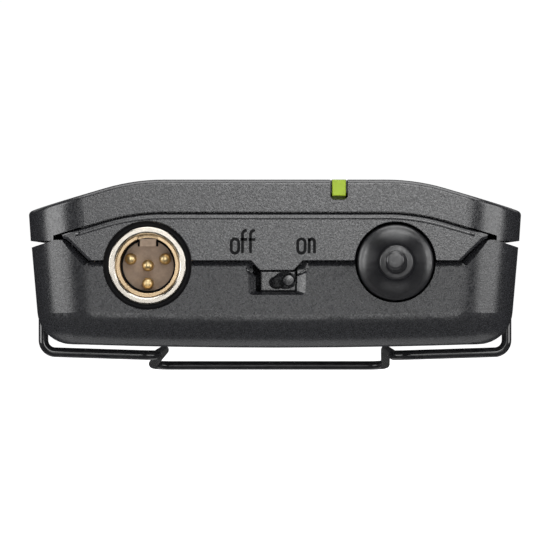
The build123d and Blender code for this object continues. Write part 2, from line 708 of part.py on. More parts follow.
with BuildPart() as connector_surround:
    ring_profile((
        (SHELL_R + 0.03, 0.55), (SURROUND_R - 0.25, 0.55), (SURROUND_R, 0.3),
        (SURROUND_R, TRIM_BACK_D), (SHELL_R + 0.03, TRIM_BACK_D),
    ))
save(connector_surround, "connector_surround")

with BuildPart() as connector_insulator:
    rod_along_y(CONNECTOR_X, CONNECTOR_Z, INSULATOR_D, 9.0, SHELL_THROAT_R - 0.02)
    slab(CONNECTOR_X - 1.05, CONNECTOR_X + 1.05, 3.2, INSULATOR_D + 0.5, CONNECTOR_Z + 2.5, CONNECTOR_Z + 3.5)
    for x, z in PIN_PLACES:
        rod_along_y(CONNECTOR_X + x, CONNECTOR_Z + z, INSULATOR_D - 2, 9.5, PIN_R, mode=Mode.SUBTRACT)
save(connector_insulator, "connector_insulator")

with BuildPart() as connector_pins:
    for x, z in PIN_PLACES:
        with BuildSketch(Plane(origin=(CONNECTOR_X + x, END_Y, CONNECTOR_Z + z), x_dir=(1, 0, 0), z_dir=(0, 0, 1))):
            with BuildLine():
                ThreePointArc(
                    (0, PIN_TIP_D),
                    (PIN_R * sin(radians(45)), PIN_TIP_D + PIN_R * (1 - cos(radians(45)))),
                    (PIN_R, PIN_TIP_D + PIN_R),
                )
                Polyline(
                    (PIN_R, PIN_TIP_D + PIN_R), (PIN_R, 9.6), (TAIL_R, 9.6), (TAIL_R, 12.0),
                    (0, 12.0), (0, PIN_TIP_D),
                )
            make_face()
        revolve(axis=Axis((CONNECTOR_X + x, END_Y, CONNECTOR_Z + z), (0, 1, 0)))
save(connector_pins, "connector_pins")

with BuildPart() as connector_nut:
    with BuildSketch(end_plane(TRIM_BACK_D + 0.02)):
        with Locations((CONNECTOR_X, CONNECTOR_Z)):
            RegularPolygon(radius=6.4, side_count=6, major_radius=False, rotation=0)
            Circle(SHELL_R + 0.02, mode=Mode.SUBTRACT)
    extrude(amount=-1.9)
save(connector_nut, "connector_nut")

with BuildPart() as connector_leads:
    for (x, z), (foot_x, reach) in zip(PIN_PLACES, LEAD_RUNS):
        start_x = CONNECTOR_X + x
        foot_x = CONNECTOR_X + foot_x
        start_z = CONNECTOR_Z + z
        with BuildLine() as lead_path:
            FilletPolyline(
                (start_x, END_Y + 12.0, start_z),
                (start_x, END_Y + reach, start_z),
                (foot_x, END_Y + reach + 1.6, PCB_TOP + 1.8),
                (foot_x, END_Y + reach + 1.6, PCB_TOP),
                radius=[0.9, 0.7],
            )
        with BuildSketch(Plane(origin=lead_path.line @ 0, z_dir=lead_path.line % 0)):
            Circle(LEAD_R)
        sweep(path=lead_path.line)
save(connector_leads, "connector_leads")


# ---------------------------------------------------------------- power switch
with BuildPart() as power_slider:
    slab(SLIDER_LEFT, SLIDER_RIGHT, SLIDER_FACE_D, 2.5, THROAT_LOW_Z + 0.1, 14.7)
    # scooped thumb hollow, deepest at its left end, under a shallow dish
    with BuildSketch(end_plane(SLIDER_FACE_D - 0.01)):
        with Locations((0.85, 13.3)):
            Ellipse(1.62, 1.0)
    with BuildSketch(end_plane(SLIDER_FACE_D + 0.5)):
        with Locations((0.85, 13.2)):
            Ellipse(1.15, 0.62)
    loft(mode=Mode.SUBTRACT)
    with BuildSketch(end_plane(SLIDER_FACE_D)):
        with Locations((0.12, 12.98)):
            Ellipse(0.86, 0.6)
    with BuildSketch(end_plane(SLIDER_FACE_D + 1.1)):
        with Locations((0.12, 12.98)):
            Ellipse(0.6, 0.4)
    loft(mode=Mode.SUBTRACT)
    # domed thumb nub standing in the dish
    with BuildSketch(end_plane(SLIDER_FACE_D + 1.2)):
        with Locations((1.62, 13.45)):
            Circle(NUB_DOME_R)
    extrude(amount=1.2 + NUB_STAND)
    nub_rim = power_slider.faces().sort_by(Axis.Y)[0].edges()
    fillet(nub_rim, NUB_DOME_R - 0.2)
    # carrier plate behind the wall, with a fork for the switch stem
    slab(SLIDER_LEFT - 1.3, SLIDER_RIGHT + 1.3, 2.5, 3.2, 9.6, 15.4)
    slab(-0.05, 1.05, 2.4, 3.3, 9.5, 11.6, mode=Mode.SUBTRACT)
save(power_slider, "power_slider")

with BuildPart() as slide_switch_stem:
    slab(0.0, 1.0, 2.6, 5.6, 9.9, 11.4)
    slab(-0.8, 1.8, 4.9, 6.4, 9.9, 11.4)
save(slide_switch_stem, "slide_switch_stem")

with BuildPart() as slide_switch_body:
    slab(-5.0, 4.5, 4.2, 8.2, PCB_TOP, 12.6)
    slab(-3.1, 2.1, 4.8, 6.6, 9.8, 11.5, mode=Mode.SUBTRACT)
    slab(-2.3, 1.3, 4.1, 5.0, 9.8, 11.5, mode=Mode.SUBTRACT)
save(slide_switch_body, "slide_switch_body")


# ---------------------------------------------------------------- indicator
with BuildPart() as led_light_pipe:
    slab(
        LED_X - PIPE_WIDTH / 2, LED_X + PIPE_WIDTH / 2, 0.05, PIPE_END_D,
        TOP_Z - PIPE_HEIGHT, TOP_Z,
    )
    fillet(led_light_pipe.edges().group_by(Axis.Y)[0], 0.15)
    slab(LED_X - PIPE_WIDTH / 2, LED_X + PIPE_WIDTH / 2, 2.9, PIPE_END_D, 9.8, TOP_Z - PIPE_HEIGHT)
save(led_light_pipe, "led_light_pipe")

with BuildPart() as power_led:
    slab(LED_X - 0.8, LED_X + 0.8, 3.4, 5.2, PCB_TOP, PCB_TOP + 0.6)
    with BuildSketch(level(PCB_TOP + 0.6)):
        with Locations((LED_X, 4.3)):
            Circle(0.6)
    extrude(amount=0.45)
    fillet(power_led.edges().group_by(Axis.Z)[-1], 0.3)
save(power_led, "power_led")


# ---------------------------------------------------------------- antenna
BOOT_AXIS = Axis((ANTENNA_X, END_Y, ANTENNA_Z), (0, 1, 0))
BOOT_PLANE = Plane(origin=(ANTENNA_X, END_Y, ANTENNA_Z), x_dir=(1, 0, 0), z_dir=(0, 0, 1))
SOCKET_R = WHIP_ROOT_R + 0.07
BOOT_FRONT_D = WHIP_ROOT_D + 0.95
with BuildPart() as antenna_boot:
    with BuildSketch(BOOT_PLANE):
        with BuildLine():
            Polyline(
                (0, 5.6), (2.6, 5.6), (2.6, 2.95), (FLANGE_R, 2.95), (FLANGE_R, 2.3),
                (ANTENNA_R, 2.3), (ANTENNA_R, -0.4),
            )
            ThreePointArc((ANTENNA_R, -0.4), (4.87, -0.97), (4.3, -1.2))
            ThreePointArc((4.3, -1.2), (2.75, -1.9), (2.0, BOOT_FRONT_D))
            Polyline((2.0, BOOT_FRONT_D), (0, BOOT_FRONT_D), (0, 5.6))
        make_face()
    revolve(axis=BOOT_AXIS)
    with BuildSketch(BOOT_PLANE):
        with BuildLine():
            ThreePointArc(
                (0, WHIP_ROOT_D - SOCKET_R),
                (SOCKET_R, WHIP_ROOT_D),
                (0, WHIP_ROOT_D + SOCKET_R),
            )
            Line((0, WHIP_ROOT_D + SOCKET_R), (0, WHIP_ROOT_D - SOCKET_R))
        make_face()
    revolve(axis=BOOT_AXIS, mode=Mode.SUBTRACT)
    rod_along_y(ANTENNA_X, ANTENNA_Z, 0.6, 6, 1.2, mode=Mode.SUBTRACT)
save(antenna_boot, "antenna_boot")

with BuildPart() as antenna_ferrule:
    rod_along_y(ANTENNA_X, ANTENNA_Z, 0.6, 7.4, 1.2)
    rod_along_y(ANTENNA_X, ANTENNA_Z, 5.6, 6.4, 3.2)
save(antenna_ferrule, "antenna_ferrule")

with BuildPart() as antenna_contact:
    slab(ANTENNA_X - 1.0, ANTENNA_X + 1.0, 7.4, 7.8, PCB_TOP + 0.3, ANTENNA_Z + 1.0)
    slab(ANTENNA_X - 1.0, ANTENNA_X + 1.0, 7.4, 9.8, PCB_TOP, PCB_TOP + 0.3)
save(antenna_contact, "antenna_contact")

WHIP_ROOT = Vector(ANTENNA_X, END_Y + WHIP_ROOT_D, ANTENNA_Z)
WHIP_TIP = Vector(ANTENNA_X + WHIP_LEAN_X, ANTENNA_TIP_Y, ANTENNA_Z + WHIP_LEAN_Z)
WHIP_DIRECTION = (WHIP_TIP - WHIP_ROOT).normalized()
WHIP_LENGTH = (WHIP_TIP - WHIP_ROOT).length
WHIP_PLANE = Plane(origin=WHIP_ROOT, x_dir=(1, 0, -WHIP_DIRECTION.X / 40), z_dir=WHIP_DIRECTION)
WHIP_SIDE = WHIP_PLANE.x_dir
WHIP_SECTION = Plane(origin=WHIP_ROOT, x_dir=WHIP_SIDE, z_dir=WHIP_SIDE.cross(WHIP_DIRECTION))
with BuildPart() as antenna_whip:
    with BuildSketch(WHIP_SECTION):
        with BuildLine():
            ThreePointArc(
                (0, -WHIP_ROOT_R),
                (WHIP_ROOT_R * sin(radians(45)), -WHIP_ROOT_R * cos(radians(45))),
                (WHIP_ROOT_R, 0),
            )
            Polyline(
                (WHIP_ROOT_R, 0), (WHIP_TIP_R, WHIP_LENGTH - 0.4), (WHIP_TIP_R - 0.4, WHIP_LENGTH),
                (0, WHIP_LENGTH), (0, -WHIP_ROOT_R),
            )
        make_face()
    revolve(axis=Axis(WHIP_ROOT, WHIP_DIRECTION))
    with BuildSketch(Plane(origin=WHIP_ROOT + WHIP_DIRECTION * 1.0, z_dir=WHIP_DIRECTION)):
        Circle(CORE_R)
    extrude(amount=WHIP_LENGTH - 3.0, mode=Mode.SUBTRACT)
save(antenna_whip, "antenna_whip")

with BuildPart() as antenna_core:
    with BuildSketch(Plane(origin=WHIP_ROOT + WHIP_DIRECTION * 1.0, z_dir=WHIP_DIRECTION)):
        Circle(CORE_R)
    extrude(amount=WHIP_LENGTH - 3.0)
save(antenna_core, "antenna_core")


# ---------------------------------------------------------------- main board
with BuildPart() as main_pcb:
    slab(-25.6, 25.6, 3.3, 41.0, PCB_Z, PCB_TOP)
    fillet(main_pcb.edges().filter_by(Axis.Z), 3.2)
    posts(SCREW_PLACES, PCB_Z - 1, PCB_TOP + 1, 3.0, mode=Mode.SUBTRACT)
    posts(PCB_SCREW_PLACES, PCB_Z - 1, PCB_TOP + 1, 1.1, mode=Mode.SUBTRACT)
    posts(DECK_POST_PLACES, PCB_Z - 1, PCB_TOP + 1, 2.3, mode=Mode.SUBTRACT)
save(main_pcb, "main_pcb")

with BuildPart() as rf_shield:
    slab(6.0, 18.0, 19.0, 33.0, PCB_TOP, PCB_TOP + 2.6)
    slab(6.4, 17.6, 19.4, 32.6, PCB_TOP - 0.1, PCB_TOP + 2.2, mode=Mode.SUBTRACT)
save(rf_shield, "rf_shield")

CHIPS = (
    (-12.0, 27.0, 7.0, 7.0, 1.2), (-2.0, 24.0, 5.0, 5.0, 1.0), (-2.0, 33.0, 4.0, 6.0, 1.5),
    (-17.0, 31.0, 3.0, 2.0, 1.0), (-12.5, 35.5, 2.0, 1.2, 0.8), (-8.0, 36.5, 2.0, 1.2, 0.8),
    (12.0, 36.5, 3.2, 2.5, 1.4), (18.5, 12.0, 2.0, 1.2, 0.8), (21.5, 15.0, 1.2, 2.0, 0.8),
    (0.0, 13.0, 3.5, 2.8, 1.6), (5.0, 13.0, 2.0, 1.2, 0.8), (-4.5, 17.5, 2.0, 1.2, 0.8),
)
with BuildPart() as smd_components:
    for x, d, width, length, height in CHIPS:
        slab(x - width / 2, x + width / 2, d - length / 2, d + length / 2, PCB_TOP, PCB_TOP + height)
save(smd_components, "smd_components")


# ---------------------------------------------------------------- control deck under the door
with BuildPart() as control_deck:
    slab(-27.6, 27.6, SPLIT_D + 0.8, 42.7, DECK_Z, DECK_TOP)
    slab(-27.6, 27.6, 41.5, 42.7, PCB_TOP, DECK_Z)
    posts(DECK_POST_PLACES, DECK_Z - 1, DECK_TOP + 1, 1.1, mode=Mode.SUBTRACT)
    for x in (GROUP_X, CHANNEL_X):
        half = BUTTON_SIDE / 2 + 0.15
        slab(x - half, x + half, BUTTON_D - half, BUTTON_D + half, DECK_Z - 0.1, DECK_TOP + 0.1, mode=Mode.SUBTRACT)
    slab(DISPLAY_X - 5.5, DISPLAY_X + 5.5, 33.3, 40.3, DECK_Z - 0.1, DECK_TOP + 0.1, mode=Mode.SUBTRACT)
    posts(((GAIN_X, BUTTON_D),), DECK_Z - 0.1, DECK_TOP + 0.1, 2.0, mode=Mode.SUBTRACT)
    # latch noses swing past the deck's corners
    for side in (-1, 1):
        low, high = sorted((side * 25.9, side * 27.7))
        slab(low, high, LATCH_D - 2.0, 43, 14.0, DECK_TOP + 0.1, mode=Mode.SUBTRACT)
save(control_deck, "control_deck")

with BuildPart() as control_board:
    slab(-23.0, 23.0, 31.4, 41.3, BOARD_Z, BOARD_TOP)
save(control_board, "control_board")

with BuildPart() as tact_switches:
    for x in (GROUP_X, CHANNEL_X):
        slab(x - 1.9, x + 1.9, BUTTON_D - 1.9, BUTTON_D + 1.9, BOARD_TOP, BOARD_TOP + 0.6)
        posts(((x, BUTTON_D),), BOARD_TOP + 0.6, BOARD_TOP + 0.8, 1.0)
save(tact_switches, "tact_switches")

for name, x in (("group_button", GROUP_X), ("channel_button", CHANNEL_X)):
    with BuildPart() as button:
        with BuildSketch(level(19.6)):
            with Locations((x, BUTTON_D)):
                RectangleRounded(4.6, 4.6, 0.6)
        extrude(amount=0.45)
        with BuildSketch(level(20.05)):
            with Locations((x, BUTTON_D)):
                RectangleRounded(BUTTON_SIDE, BUTTON_SIDE, 0.5)
        extrude(amount=BUTTON_TOP - 20.05)
        fillet(button.edges().group_by(Axis.Z)[-1], 0.3)
    save(button, name)

with BuildPart() as gain_trimmer:
    slab(GAIN_X - 2.6, GAIN_X + 2.6, BUTTON_D - 2.6, BUTTON_D + 2.6, BOARD_TOP, 20.1)
    posts(((GAIN_X, BUTTON_D),), 19.1, 20.2, 1.75, mode=Mode.SUBTRACT)
save(gain_trimmer, "gain_trimmer")

with BuildPart() as gain_rotor:
    posts(((GAIN_X, BUTTON_D),), 19.15, 21.8, 1.7)
    slab(GAIN_X - 1.3, GAIN_X + 1.3, BUTTON_D - 0.25, BUTTON_D + 0.25, 21.2, 21.9, mode=Mode.SUBTRACT)
    slab(GAIN_X - 0.2, GAIN_X + 0.2, BUTTON_D, BUTTON_D + 1.3, 21.2, 21.9, mode=Mode.SUBTRACT)
save(gain_rotor, "gain_rotor")

with BuildPart() as channel_display:
    slab(DISPLAY_X - 5.0, DISPLAY_X + 5.0, 33.8, 39.8, BOARD_TOP, 20.1)
save(channel_display, "channel_display")

with BuildPart() as display_window:
    slab(DISPLAY_X - 5.48, DISPLAY_X + 5.48, 33.32, 40.28, 20.25, DECK_TOP + 0.1)
    fillet(display_window.edges().group_by(Axis.Z)[-1], 0.3)
save(display_window, "display_window")


# ---------------------------------------------------------------- batteries and contacts
LEFT_START = BAY_FRONT_D + 0.1
RIGHT_START = BAY_BACK_D - 0.1 - BATTERY_LENGTH
with BuildPart() as battery_left:
    rod_along_y(-BATTERY_X, BATTERY_Z, LEFT_START + NUB, LEFT_START + BATTERY_LENGTH, BATTERY_R)
    fillet(battery_left.edges(), 0.5)
    rod_along_y(-BATTERY_X, BATTERY_Z, LEFT_START, LEFT_START + NUB, NUB_R)
save(battery_left, "battery_left")

with BuildPart() as battery_right:
    rod_along_y(BATTERY_X, BATTERY_Z, RIGHT_START, RIGHT_START + BATTERY_LENGTH - NUB, BATTERY_R)
    fillet(battery_right.edges(), 0.5)
    rod_along_y(
        BATTERY_X, BATTERY_Z, RIGHT_START + BATTERY_LENGTH - NUB, RIGHT_START + BATTERY_LENGTH, NUB_R,
    )
save(battery_right, "battery_right")

with BuildPart() as battery_contacts:
    for x in (-BATTERY_X, BATTERY_X):
        slab(x - PLATE_HALF, x + PLATE_HALF, 42.75, 43.05, BATTERY_Z - PLATE_HALF, BATTERY_Z + PLATE_HALF)
    slab(-BATTERY_X - PLATE_HALF, BATTERY_X + PLATE_HALF, BAY_BACK_D, BAY_BACK_D + 0.3,
         BATTERY_Z - PLATE_HALF, BATTERY_Z + PLATE_HALF - 2.0)
save(battery_contacts, "battery_contacts")

SPRING_PLACES = (
    (BATTERY_X, 43.05, RIGHT_START, 1),
    (-BATTERY_X, BAY_BACK_D, LEFT_START + BATTERY_LENGTH, -1),
)
with BuildPart() as battery_springs:
    for x, base_d, end_d, direction in SPRING_PLACES:
        rise = abs(end_d - base_d) - 2 * SPRING_WIRE_R - 0.15
        start_y = END_Y + base_d + direction * (SPRING_WIRE_R + 0.05)
        with BuildLine() as coil:
            Helix(
                pitch=rise / SPRING_TURNS, height=rise, radius=SPRING_BASE_R,
                center=(x, start_y, BATTERY_Z), direction=(0, direction, 0), cone_angle=-SPRING_CONE,
            )
        with BuildSketch(Plane(origin=coil.line @ 0, z_dir=coil.line % 0)):
            RegularPolygon(radius=SPRING_WIRE_R, side_count=8)
        sweep(path=coil.line, is_frenet=True)
save(battery_springs, "battery_springs")

with BuildPart() as door_foam_pad:
    slab(-12.0, 12.0, 58.0, 80.0, 21.6, TOP_Z - COVER_WALL)
save(door_foam_pad, "door_foam_pad")


# ---------------------------------------------------------------- door hinge and latches
with BuildPart() as door_hinge_pin:
    with BuildSketch(side_plane(-24.6)):
        with Locations((END_Y + HINGE_D, HINGE_Z)):
            Circle(HINGE_PIN_R)
    extrude(amount=49.2)
save(door_hinge_pin, "door_hinge_pin")

for name, side in (("latch_left", -1), ("latch_right", 1)):
    with BuildPart() as latch:
        low, high = sorted((side * (LATCH_OUT - LATCH_THICK), side * LATCH_OUT))
        slab(low, high, LATCH_D - LATCH_HALF, LATCH_D + LATCH_HALF, 19.6, 21.6)
        # grip ribs on the pressed face
        low, high = sorted((side * (LATCH_OUT - 0.05), side * (LATCH_OUT + 0.2)))
        for step in (-2, -1, 0, 1, 2):
            slab(low, high, LATCH_D + step * 1.4 - 0.3, LATCH_D + step * 1.4 + 0.3, 19.9, 21.3)
        # inner bar above the tongue, with the nose that reaches down inside it
        low, high = sorted((side * 27.2, side * (LATCH_OUT - LATCH_THICK)))
        slab(low, high, LATCH_D - LATCH_BAR_HALF, LATCH_D + LATCH_BAR_HALF, 20.45, 21.2)
        low, high = sorted((side * 27.5, side * 28.7))
        slab(low, high, LATCH_D - LATCH_BAR_HALF, LATCH_D + LATCH_BAR_HALF, 16.4, 20.45)
    save(latch, name)


# ---------------------------------------------------------------- wire clip
def clip_points(side):
    """Corner points of one half of the clip, from its pivot end to the crossbar corner."""
    return [
        (side * 26.6, END_Y + CLIP_D, CLIP_Z),
        (side * CLIP_ARM_X, END_Y + CLIP_D, CLIP_Z),
        (side * CLIP_ARM_X, END_Y + CLIP_D, 3.92),
        (side * CLIP_TONGUE_X, END_Y + CLIP_D, 3.45),
        (side * CLIP_TONGUE_X, END_Y + 60.0, 3.45),
        (side * CLIP_CROSSBAR_X + CLIP_LEAN_X, END_Y + CLIP_CROSSBAR_D, WIRE_R),
    ]


with BuildPart() as belt_clip:
    route = clip_points(-1) + clip_points(1)[::-1]
    radii = [1.2, 1.6, 2.2, 20.0, 2.6, 2.6, 20.0, 2.2, 1.6, 1.2]
    with BuildLine() as clip_path:
        FilletPolyline(*route, radius=radii)
    with BuildSketch(Plane(origin=clip_path.line @ 0, z_dir=clip_path.line % 0)):
        Circle(WIRE_R)
    sweep(path=clip_path.line)
save(belt_clip, "belt_clip")

with BuildPart() as clip_bushes:
    for side in (-1, 1):
        with BuildSketch(side_plane(min(side * BUSH_IN, side * BUSH_OUT))):
            with Locations((END_Y + CLIP_D, CLIP_Z)):
                Circle(BUSH_R)
                Circle(WIRE_R + 0.05, mode=Mode.SUBTRACT)
        extrude(amount=BUSH_OUT - BUSH_IN)
save(clip_bushes, "clip_bushes")


# ---------------------------------------------------------------- fasteners
def cross_screw(x, d, head_z, shank_z, head_r, shank_r, head_height):
    """Pan head screw, standing up or hanging down, with a cross recess."""
    down = shank_z < head_z
    step = -head_height if down else head_height
    with BuildSketch(level(head_z)) as outline:
        with Locations((x, d)):
            Circle(head_r)
    extrude(outline.sketch, amount=step)
    with BuildSketch(level(head_z + step)) as outline:
        with Locations((x, d)):
            Circle(shank_r)
    extrude(outline.sketch, amount=shank_z - head_z - step)
    with BuildSketch(level(head_z)) as outline:
        with Locations((x, d)):
            Rectangle(1.5 * head_r, 0.3 * head_r)
            Rectangle(0.3 * head_r, 1.5 * head_r)
    extrude(outline.sketch, amount=step * 0.55, mode=Mode.SUBTRACT)


with BuildPart() as housing_screws:
    for x, d in SCREW_PLACES:
        cross_screw(x, d, BACK_Z + 0.2, 21.3, 1.95, 0.88, 1.4)
save(housing_screws, "housing_screws")

with BuildPart() as pcb_screws:
    for x, d in PCB_SCREW_PLACES:
        cross_screw(x, d, PCB_TOP + 1.1, FLOOR_Z + 0.4, 1.7, 0.8, 1.08)
save(pcb_screws, "pcb_screws")

with BuildPart() as deck_screws:
    for x, d in DECK_POST_PLACES:
        cross_screw(x, d, DECK_TOP + 1.0, DECK_Z - 4.6, 1.6, 0.8, 0.98)
save(deck_screws, "deck_screws")
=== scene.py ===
"""Looks for the wireless bodypack transmitter: materials, raised legends, added skins and studio.

Metres, in the CAD frame: +X across the pack, +Y away from the connector end, +Z out of the front cover.
"""
import json
import math

import bmesh
import bpy
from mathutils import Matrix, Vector


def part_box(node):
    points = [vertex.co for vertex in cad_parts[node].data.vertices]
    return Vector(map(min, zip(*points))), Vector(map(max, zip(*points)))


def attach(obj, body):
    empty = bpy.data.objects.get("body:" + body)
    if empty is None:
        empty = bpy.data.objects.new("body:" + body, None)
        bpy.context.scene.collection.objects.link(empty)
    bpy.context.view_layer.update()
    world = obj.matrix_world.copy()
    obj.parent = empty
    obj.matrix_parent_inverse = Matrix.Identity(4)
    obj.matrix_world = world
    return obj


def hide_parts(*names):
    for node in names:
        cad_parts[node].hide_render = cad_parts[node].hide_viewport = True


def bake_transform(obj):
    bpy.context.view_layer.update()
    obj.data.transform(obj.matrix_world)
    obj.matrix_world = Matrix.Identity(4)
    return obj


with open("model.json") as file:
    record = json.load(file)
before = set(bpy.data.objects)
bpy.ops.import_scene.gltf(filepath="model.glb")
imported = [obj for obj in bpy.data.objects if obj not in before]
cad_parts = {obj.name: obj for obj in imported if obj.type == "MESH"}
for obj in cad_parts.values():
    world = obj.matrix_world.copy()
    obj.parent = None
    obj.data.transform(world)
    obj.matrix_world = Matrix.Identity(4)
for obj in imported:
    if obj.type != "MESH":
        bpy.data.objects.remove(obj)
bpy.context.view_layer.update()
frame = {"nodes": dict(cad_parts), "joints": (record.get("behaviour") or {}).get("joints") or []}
NODES = frame["nodes"]
JOINTS = {joint["name"]: joint for joint in frame["joints"]}
MM = 0.001

END_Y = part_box("rear_housing")[0].y        # foremost point of the housing
TRIM_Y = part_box("end_trim_panel")[0].y     # foremost point of the trim panel

# camera, in metres
VIEW_DISTANCE = 0.600              # from the lens to the connector end face
VIEW_FIELD = 0.07152               # width of the view at that face
EYE_HEIGHT = 0.01413
SENSOR = 36.0

# studio: strengths, and the floor's distance below the pack in metres
BACKDROP = 1.02
AMBIENT = 0.04
FLOOR_GLOW = 1.0
FLOOR_DROP = 0.02
FLOOR_REACH = 3.0
# name: azimuth, elevation, distance, (width, height), radiance
SOFT_BOXES = {
    "front_box": (5, 17, 1.0, (0.34, 0.62), 4.25),
    "low_strip": (2, -15, 1.0, (0.5, 0.1), 2.9),
    "left_box": (-66, 8, 1.0, (0.8, 0.64), 3.4),
    "right_box": (61, 8, 1.0, (0.84, 0.64), 2.9),
    "top_box": (20, 78, 0.9, (0.9, 0.9), 3.0),
    "back_left_box": (-155, 32, 1.1, (1.0, 0.7), 0.8),
    "back_right_box": (155, 32, 1.1, (1.0, 0.7), 0.8),
    "under_box": (180, -55, 1.0, (1.2, 0.8), 0.55),
}

BODY = (0.009, 0.0092, 0.0105)     # colour of the shell

# all the sizes below are in millimetres, depths counted into the pack from the housing's foremost point
BEAD_SIDES = 10
BEAD_FLATNESS = 0.4                # depth of a bead as a part of its width

# raised legends
LETTER_LOW = 16.97
LETTER_HEIGHT = 1.86
LETTER_TALL = 2.98
ROUND_WIDTH = 0.96
HOOK_WIDTH = 0.9
ARCH_WIDTH = 0.68
OFF_X = (-5.69, -4.5, -3.45)
ON_X = (2.95, 4.45)
STROKE_HALF = 0.19
STROKE_STANDS = 0.05

# antenna skin
WHIP_TIP_R = 1.1
WHIP_SKIN_R = 1.35
WHIP_STEPS = 24
TAPER_END = 0.975
# (radius, depth) of the flared base, from inside the pack to the sleeve round the whip's root
BASE_PROFILE = (
    (4.95, 2.95), (6.0, 2.94), (6.0, 2.35), (4.98, 2.3), (4.95, 1.0), (4.95, -0.1), (4.93, -0.4),
    (4.86, -0.62), (4.72, -0.8), (4.52, -0.92), (4.3, -1.0), (4.1, -1.14), (3.85, -1.38), (3.5, -1.8),
    (3.1, -2.35), (2.75, -2.95), (2.48, -3.6), (2.32, -4.3), (2.24, -5.0), (2.2, -5.5), (2.15, -5.66),
    (2.06, -5.74), (1.95, -5.76), (1.6, -5.77), (1.46, -5.8), (1.39, -5.9),
)
# (radius, distance behind the tip) of the tip's shadow groove and cap
TIP_PROFILE = (
    (1.14, 1.2), (1.12, 1.1), (0.98, 1.04), (0.98, 0.84), (1.1, 0.78), (1.14, 0.7), (1.14, 0.5),
    (1.12, 0.36), (1.08, 0.22), (1.01, 0.11), (0.93, 0.04), (0.86, 0.01), (0.8, 0.0), (0.4, 0.0),
)

# slide switch: its face, then the hollow, pit and nub in it, each with its (x, z) centre
SLIDER_X = (-1.93, 2.75)
SLIDER_Z = (11.97, 14.72)
SLIDER_FACE_D = 1.36
SLIDER_BACK_D = 2.6
SLIDER_GRID = (96, 60)
SLIDER_EDGE = 0.22
HOLLOW_AT = (1.3, 13.42)
HOLLOW_REACH = (1.45, 1.12)
HOLLOW_DEPTH = 0.75
PIT_AT = (0.25, 13.12)
PIT_REACH = (1.05, 0.82)
PIT_DEPTH = 2.4
PIT_FLOOR = -1.0
PIT_SLOPE = 0.6
PIT_SLOPE_Z = 13.1
NUB_AT = (1.8, 13.46)
NUB_R = 0.9
NUB_HEIGHT = 0.42
CARRIER_D = (2.5, 3.2)
CARRIER_MARGIN = 1.3
CARRIER_Z = (9.6, 11.6, 15.4)      # foot, slot's top, top
CARRIER_LAP = 0.02
STEM_SLOT_X = (-0.05, 1.05)

# lip of the switch pocket
POCKET_X = (-3.5, 4.02)
POCKET_LOW = 11.44
POCKET_TURN = 0.5
LIP_TOP_Z = 12.9
LIP_END_D = 0.3
LIP_FOOT_D = 0.37
LIP_FOOT_R = 0.15
LIP_DIAGONAL_R = 0.17
# (inset from the pocket's side, depth, height) down the left and the right upper diagonal
LIP_DIAGONALS = (
    ((-0.25, 0.16, 14.78), (0.1, 0.4, 14.62), (0.45, 0.72, 14.34), (0.7, 0.95, 14.05)),
    ((-0.25, 0.16, 14.78), (0.1, 0.4, 14.62), (0.5, 0.72, 14.34), (0.75, 0.95, 14.05)),
)

# painted shadow in the socket: a dark bead that stands for the shade round the insulator's rim and down the
# keyway's flanks
RIM_D = 4.3                        # of the ring's middle, 0.34 in front of the insulator's face
THROAT_R = 3.62
SHADOW_RING_R = 0.13
SHADOW_RING_GAP = 0.03                    # between the painted shadow ring and the throat's wall
KEYWAY_FLANK = 1.2                 # from the socket's middle to each leg
LEG_D = 3.3                        # of the legs' middle, just behind the keyway pad's face
LEG_HEIGHTS = (2.5, 3.0, 3.4)      # above the socket's middle

# roll along the trim panel, and the cover's top line that it follows
ROLL_HALF = 26.0
ROLL_STEPS = 72
ROLL_DROP = 4.95
ROLL_R = 0.3
ROLL_SINK = 0.07                   # of the roll's middle behind the trim panel's face
COVER_FLAT = 14.4
COVER_ROLL_R = 27.5
COVER_SLOPE = math.radians(16.4)

# figures on the display
FIGURE_WIDTH = 1.7
FIGURE_HEIGHT = 1.6
FIGURE_BAR = 0.32
FIGURE_OFFSET = 2.0
FIGURE_LEVELS = (-0.02, 0.06)      # below and above the display's face

# width of the rounded edge that moulding or forming leaves on each piece
EDGE_RADIUS = {
    "end_trim_panel": 0.1,
    "latch_left": 0.1, "latch_right": 0.1, "connector_surround": 0.08, "connector_shell": 0.05,
    "connector_nut": 0.12, "power_slider": 0.1, "slide_switch_body": 0.1, "control_deck": 0.12,
    "rf_shield": 0.15, "smd_components": 0.08, "main_pcb": 0.04, "control_board": 0.04,
    "housing_screws": 0.08, "pcb_screws": 0.08, "deck_screws": 0.08, "door_foam_pad": 0.4,
    "gain_rotor": 0.08, "gain_trimmer": 0.1, "tact_switches": 0.06, "battery_contacts": 0.05,
    "antenna_contact": 0.05, "channel_display": 0.08, "slide_switch_stem": 0.08,
}


# ---------------------------------------------------------------- camera
def make_camera():
    """Long lens, level, square on to the connector end."""
    data = bpy.data.cameras.new("camera")
    data.sensor_width = SENSOR
    data.lens = SENSOR * VIEW_DISTANCE / VIEW_FIELD
    data.clip_start = 0.01
    data.clip_end = 20.0
    camera = bpy.data.objects.new("camera", data)
    bpy.context.scene.collection.objects.link(camera)
    camera.location = (0.0, END_Y - VIEW_DISTANCE, EYE_HEIGHT)
    camera.rotation_euler = (math.radians(90), 0, 0)
    bpy.context.scene.camera = camera


